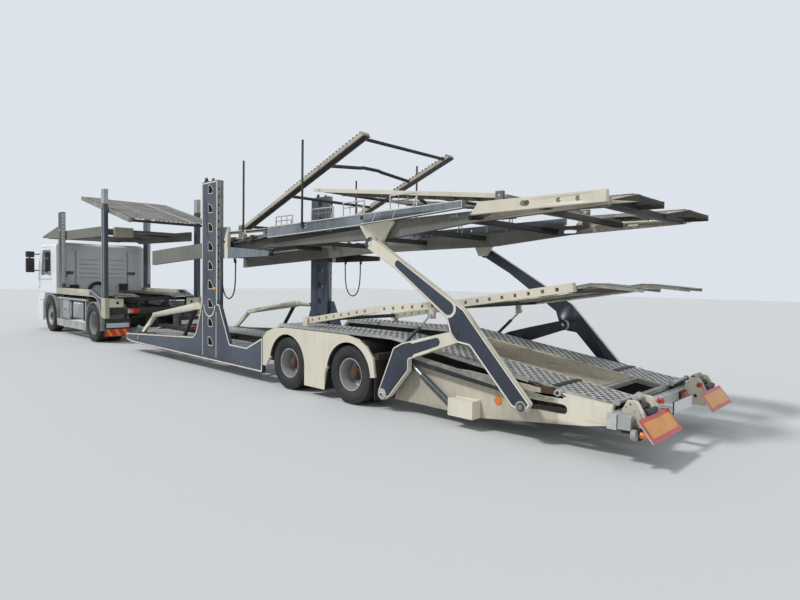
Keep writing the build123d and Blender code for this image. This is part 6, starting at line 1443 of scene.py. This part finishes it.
for start, width, path in (
        (DRIVE_AXLE_X, 0.014, [(0.30, 1.262), (0.19, 1.262), (-0.30, 1.120), (-0.50, 1.095)]),
        (DRIVE_AXLE_X, 0.014, [(0.30, 1.125), (0, 1.125), (-0.19, 1.07), (-0.365, 0.94), (-0.45, 0.77),
                               (-0.54, 0.64)]),
        (DRIVE_AXLE_X, 0.010, [(-0.695, 1.13), (-0.695, 3.33)]),
        (DRIVE_AXLE_X, 0.010, [(-0.545, 1.13), (-0.545, 3.33)]),
        (STEER_AXLE_X, 0.008, [(-1.085, 1.32), (-1.085, 3.33)]),
        (STEER_AXLE_X, 0.008, [(-0.815, 1.32), (-0.815, 3.33)])):
    flank.append(stroke([(start + x, z) for x, z in path], width, POST_FACE))
flank += blocks(DRIVE_AXLE_X, AMBER, [(x - 0.03, x + 0.01, POST_FACE - 0.002, POST_FACE + 0.008, 0.27, 0.31)
                                      for x in (0.62, 2.00, 2.82)])

# %% The truck's tail lamps, plate and board
REAR_FACE = DRIVE_AXLE_X - 0.76


def across(loops, x0, x1):
    """A plate that lies across the truck, from outlines of y and z."""
    return crosswise(plate(loops, REAR_FACE + x0, REAR_FACE + x1))


flank += [(across([[(0.80, 0.88), (1.118, 0.88), (1.118, 1.09), (0.80, 1.09)],
                   circle(0.935, 0.985, 0.038, 20)],
                  -0.012, 0.001), CREAM),
          (across([[(0.85, 0.9), (1.0, 0.9), (1.0, 1.05), (0.85, 1.05)]], -0.002, 0.002), BLACK)]
for y0, y1, material in ((0.42, 0.55, RED), (0.56, 0.63, AMBER), (0.64, 0.70, CLEAR_LENS)):
    flank += blocks(REAR_FACE, material, [(-0.028, -0.02, y0, y1, 0.735, 0.825)])
flank += blocks(REAR_FACE, BLACK_PLASTIC, [(0.006, 0.022, 0.66, 1.19, 0.385, 0.505)])
flank += blocks(REAR_FACE, CLEAR_LENS, [(0.003, 0.010, 0.665, 1.185, 0.39, 0.50)], 0.001)
flank += blocks(REAR_FACE, BOARD_RED, [(0.010, 0.022, 0.64, 1.205, 0.185, 0.355)], 0.002)
for y in (0.66, 0.85, 1.04):
    stripe = [(y, 0.19), (y + 0.07, 0.19), (y + 0.15, 0.35), (y + 0.08, 0.35)]
    flank.append((across([stripe], 0.0085, 0.012), BOARD_YELLOW))
piece("flank_details", both(flank), "truck")
piece("cab_deck_blocks", blocks(DRIVE_AXLE_X, CREAM_GRIMY, [(-0.42, -0.30, 0.42, 0.86, 2.60, 2.835)]),
      "cab_deck")

# %% Door handles
for side in ("left", "right"):
    low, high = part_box(f"door_{side}")
    face = max(abs(low[1]), abs(high[1]))
    handle = blocks(low[0], BLACK_PLASTIC, [(0.10, 0.26, face - 0.03, face + 0.010, 1.66, 1.70)], 0.006)
    handle += blocks(low[0], GREY_PLASTIC, [(0.08, 0.28, face - 0.03, face + 0.002, 1.63, 1.73)], 0.004)
    handle += blocks(low[0], WHITE, [(0.02, high[0] - 0.04 - low[0], face - 0.03, face + 0.003, 1.52, 1.545)],
                     0.004)
    piece(f"door_handle_{side}", handle if side == "left" else twins(handle), f"door_{side}")

# %% [markdown]
# ## Small fittings of the trailer
#
# Lamps stand on the posts' heads, rungs stiffen the wire hoops of the upper deck, bolts hold the plates, and
# rods, valve blocks and a short hose lie inside the upper deck's front end.

# %% Post lamps and bolts
posts = blocks(REAR_AXLE_X, BLACK, [(3.78, 3.90, 1.222, 1.262, 3.31, 3.335)])
posts += [(lathe(profile, (REAR_AXLE_X + x, 1.242, 0), "z", 16), material) for x, profile, material in (
    (3.84, [(3.335, 0.030), (3.375, 0.028), (3.395, 0.012)], BLACK_PLASTIC),
    (3.60, [(3.31, 0.026), (3.345, 0.026), (3.362, 0.014)], RED))]
posts += blocks(REAR_AXLE_X, AMBER, [(3.455, 3.495, PLATE_FACE - 0.001, PLATE_FACE + 0.005, 1.435, 1.475)])
posts += turned(PLATE_FACE, [(at, [(-0.001, 0.014), (0.003, 0.013)], 10,
                              GALVANISED_DARK) for at in on_trailer([
    (2.6, 0.28), (3.1, 0.28), (4.9, 0.50), (5.9, 0.40), (4.9, 0.26), (5.9, 0.26), (6.9, 0.26)])])
posts += blocks(REAR_AXLE_X, BLACK, [(3.41, 3.4135, 1.223, 1.262, z, z + 0.04)
                                     for z in 1.62 + 0.138 * np.arange(12)], 0.001)
posts += blocks(REAR_AXLE_X, EDGE_LINE, [(3.4065, 3.411, y, y + 0.008, 1.25, 3.30) for y in (1.217, 1.262)],
                0.001)
piece("post_fittings", both(posts), "trailer")

# %% Rungs, rods and valve blocks of the upper deck
HOOP_Y = 1.06


def pipe(points, y, radius, sides, material):
    """A rod or hose at one distance from the middle, through places ahead of the rear axle and heights."""
    return tube(np.insert(on_trailer(points), 1, y, axis=1), radius, sides), material


deck = []
for front, rear, top in ((1.97, 1.54, 2.61), (1.07, 0.58, 2.66), (0.37, -0.05, 2.695), (-0.53, -0.98, 2.715)):
    deck.append(pipe([(front - 0.02, top - 0.075), (rear + 0.02, top - 0.075)], HOOP_Y, 0.006, 6,
                     GALVANISED_DARK))
    for x in (front + (rear - front) * 0.33, front + (rear - front) * 0.67):
        deck.append(pipe([(x, top - 0.002), (x, top - 0.16)], HOOP_Y, 0.005, 6, GALVANISED_DARK))
deck += turned(BEAM_FACE, [(at, [(-0.001, 0.010), (0.004, 0.009)], 10, GALVANISED_DARK)
                           for at in on_trailer([(1.7, 2.37), (0.3, 2.42), (-1.3, 2.47)])])
deck += [pipe([(3.28, 2.285), (2.02, 2.335)], 1.150, 0.012, 10, GALVANISED_DARK),
         pipe([(3.10, 2.235), (2.20, 2.285)], 1.135, 0.018, 10, RAM_GREY),
         pipe([(2.30, 2.290), (1.98, 2.300)], 1.165, 0.008, 10, CHROME)]
for material, rows in ((BLACK, [(3.02, 3.12, 2.255, 2.325), (2.45, 2.53, 2.280, 2.340)]),
                       (GALVANISED_DARK, [(2.72, 2.77, 2.275, 2.365), (2.10, 2.16, 2.290, 2.390)])):
    deck += blocks(REAR_AXLE_X, material, [(x0, x1, 1.112, 1.178, z0, z1) for x0, x1, z0, z1 in rows])
deck.append(pipe([(2.78, 2.34), (2.66, 2.24), (2.52, 2.24), (2.44, 2.31)], 1.15, 0.009, 8, HOSE_RUBBER))
deck += blocks(REAR_AXLE_X, RUSTY, [(-2.05, -1.62, 0.52, 1.02, 2.375, 2.385)], 0.002)
piece("deck_rungs", both(deck), "upper_deck")
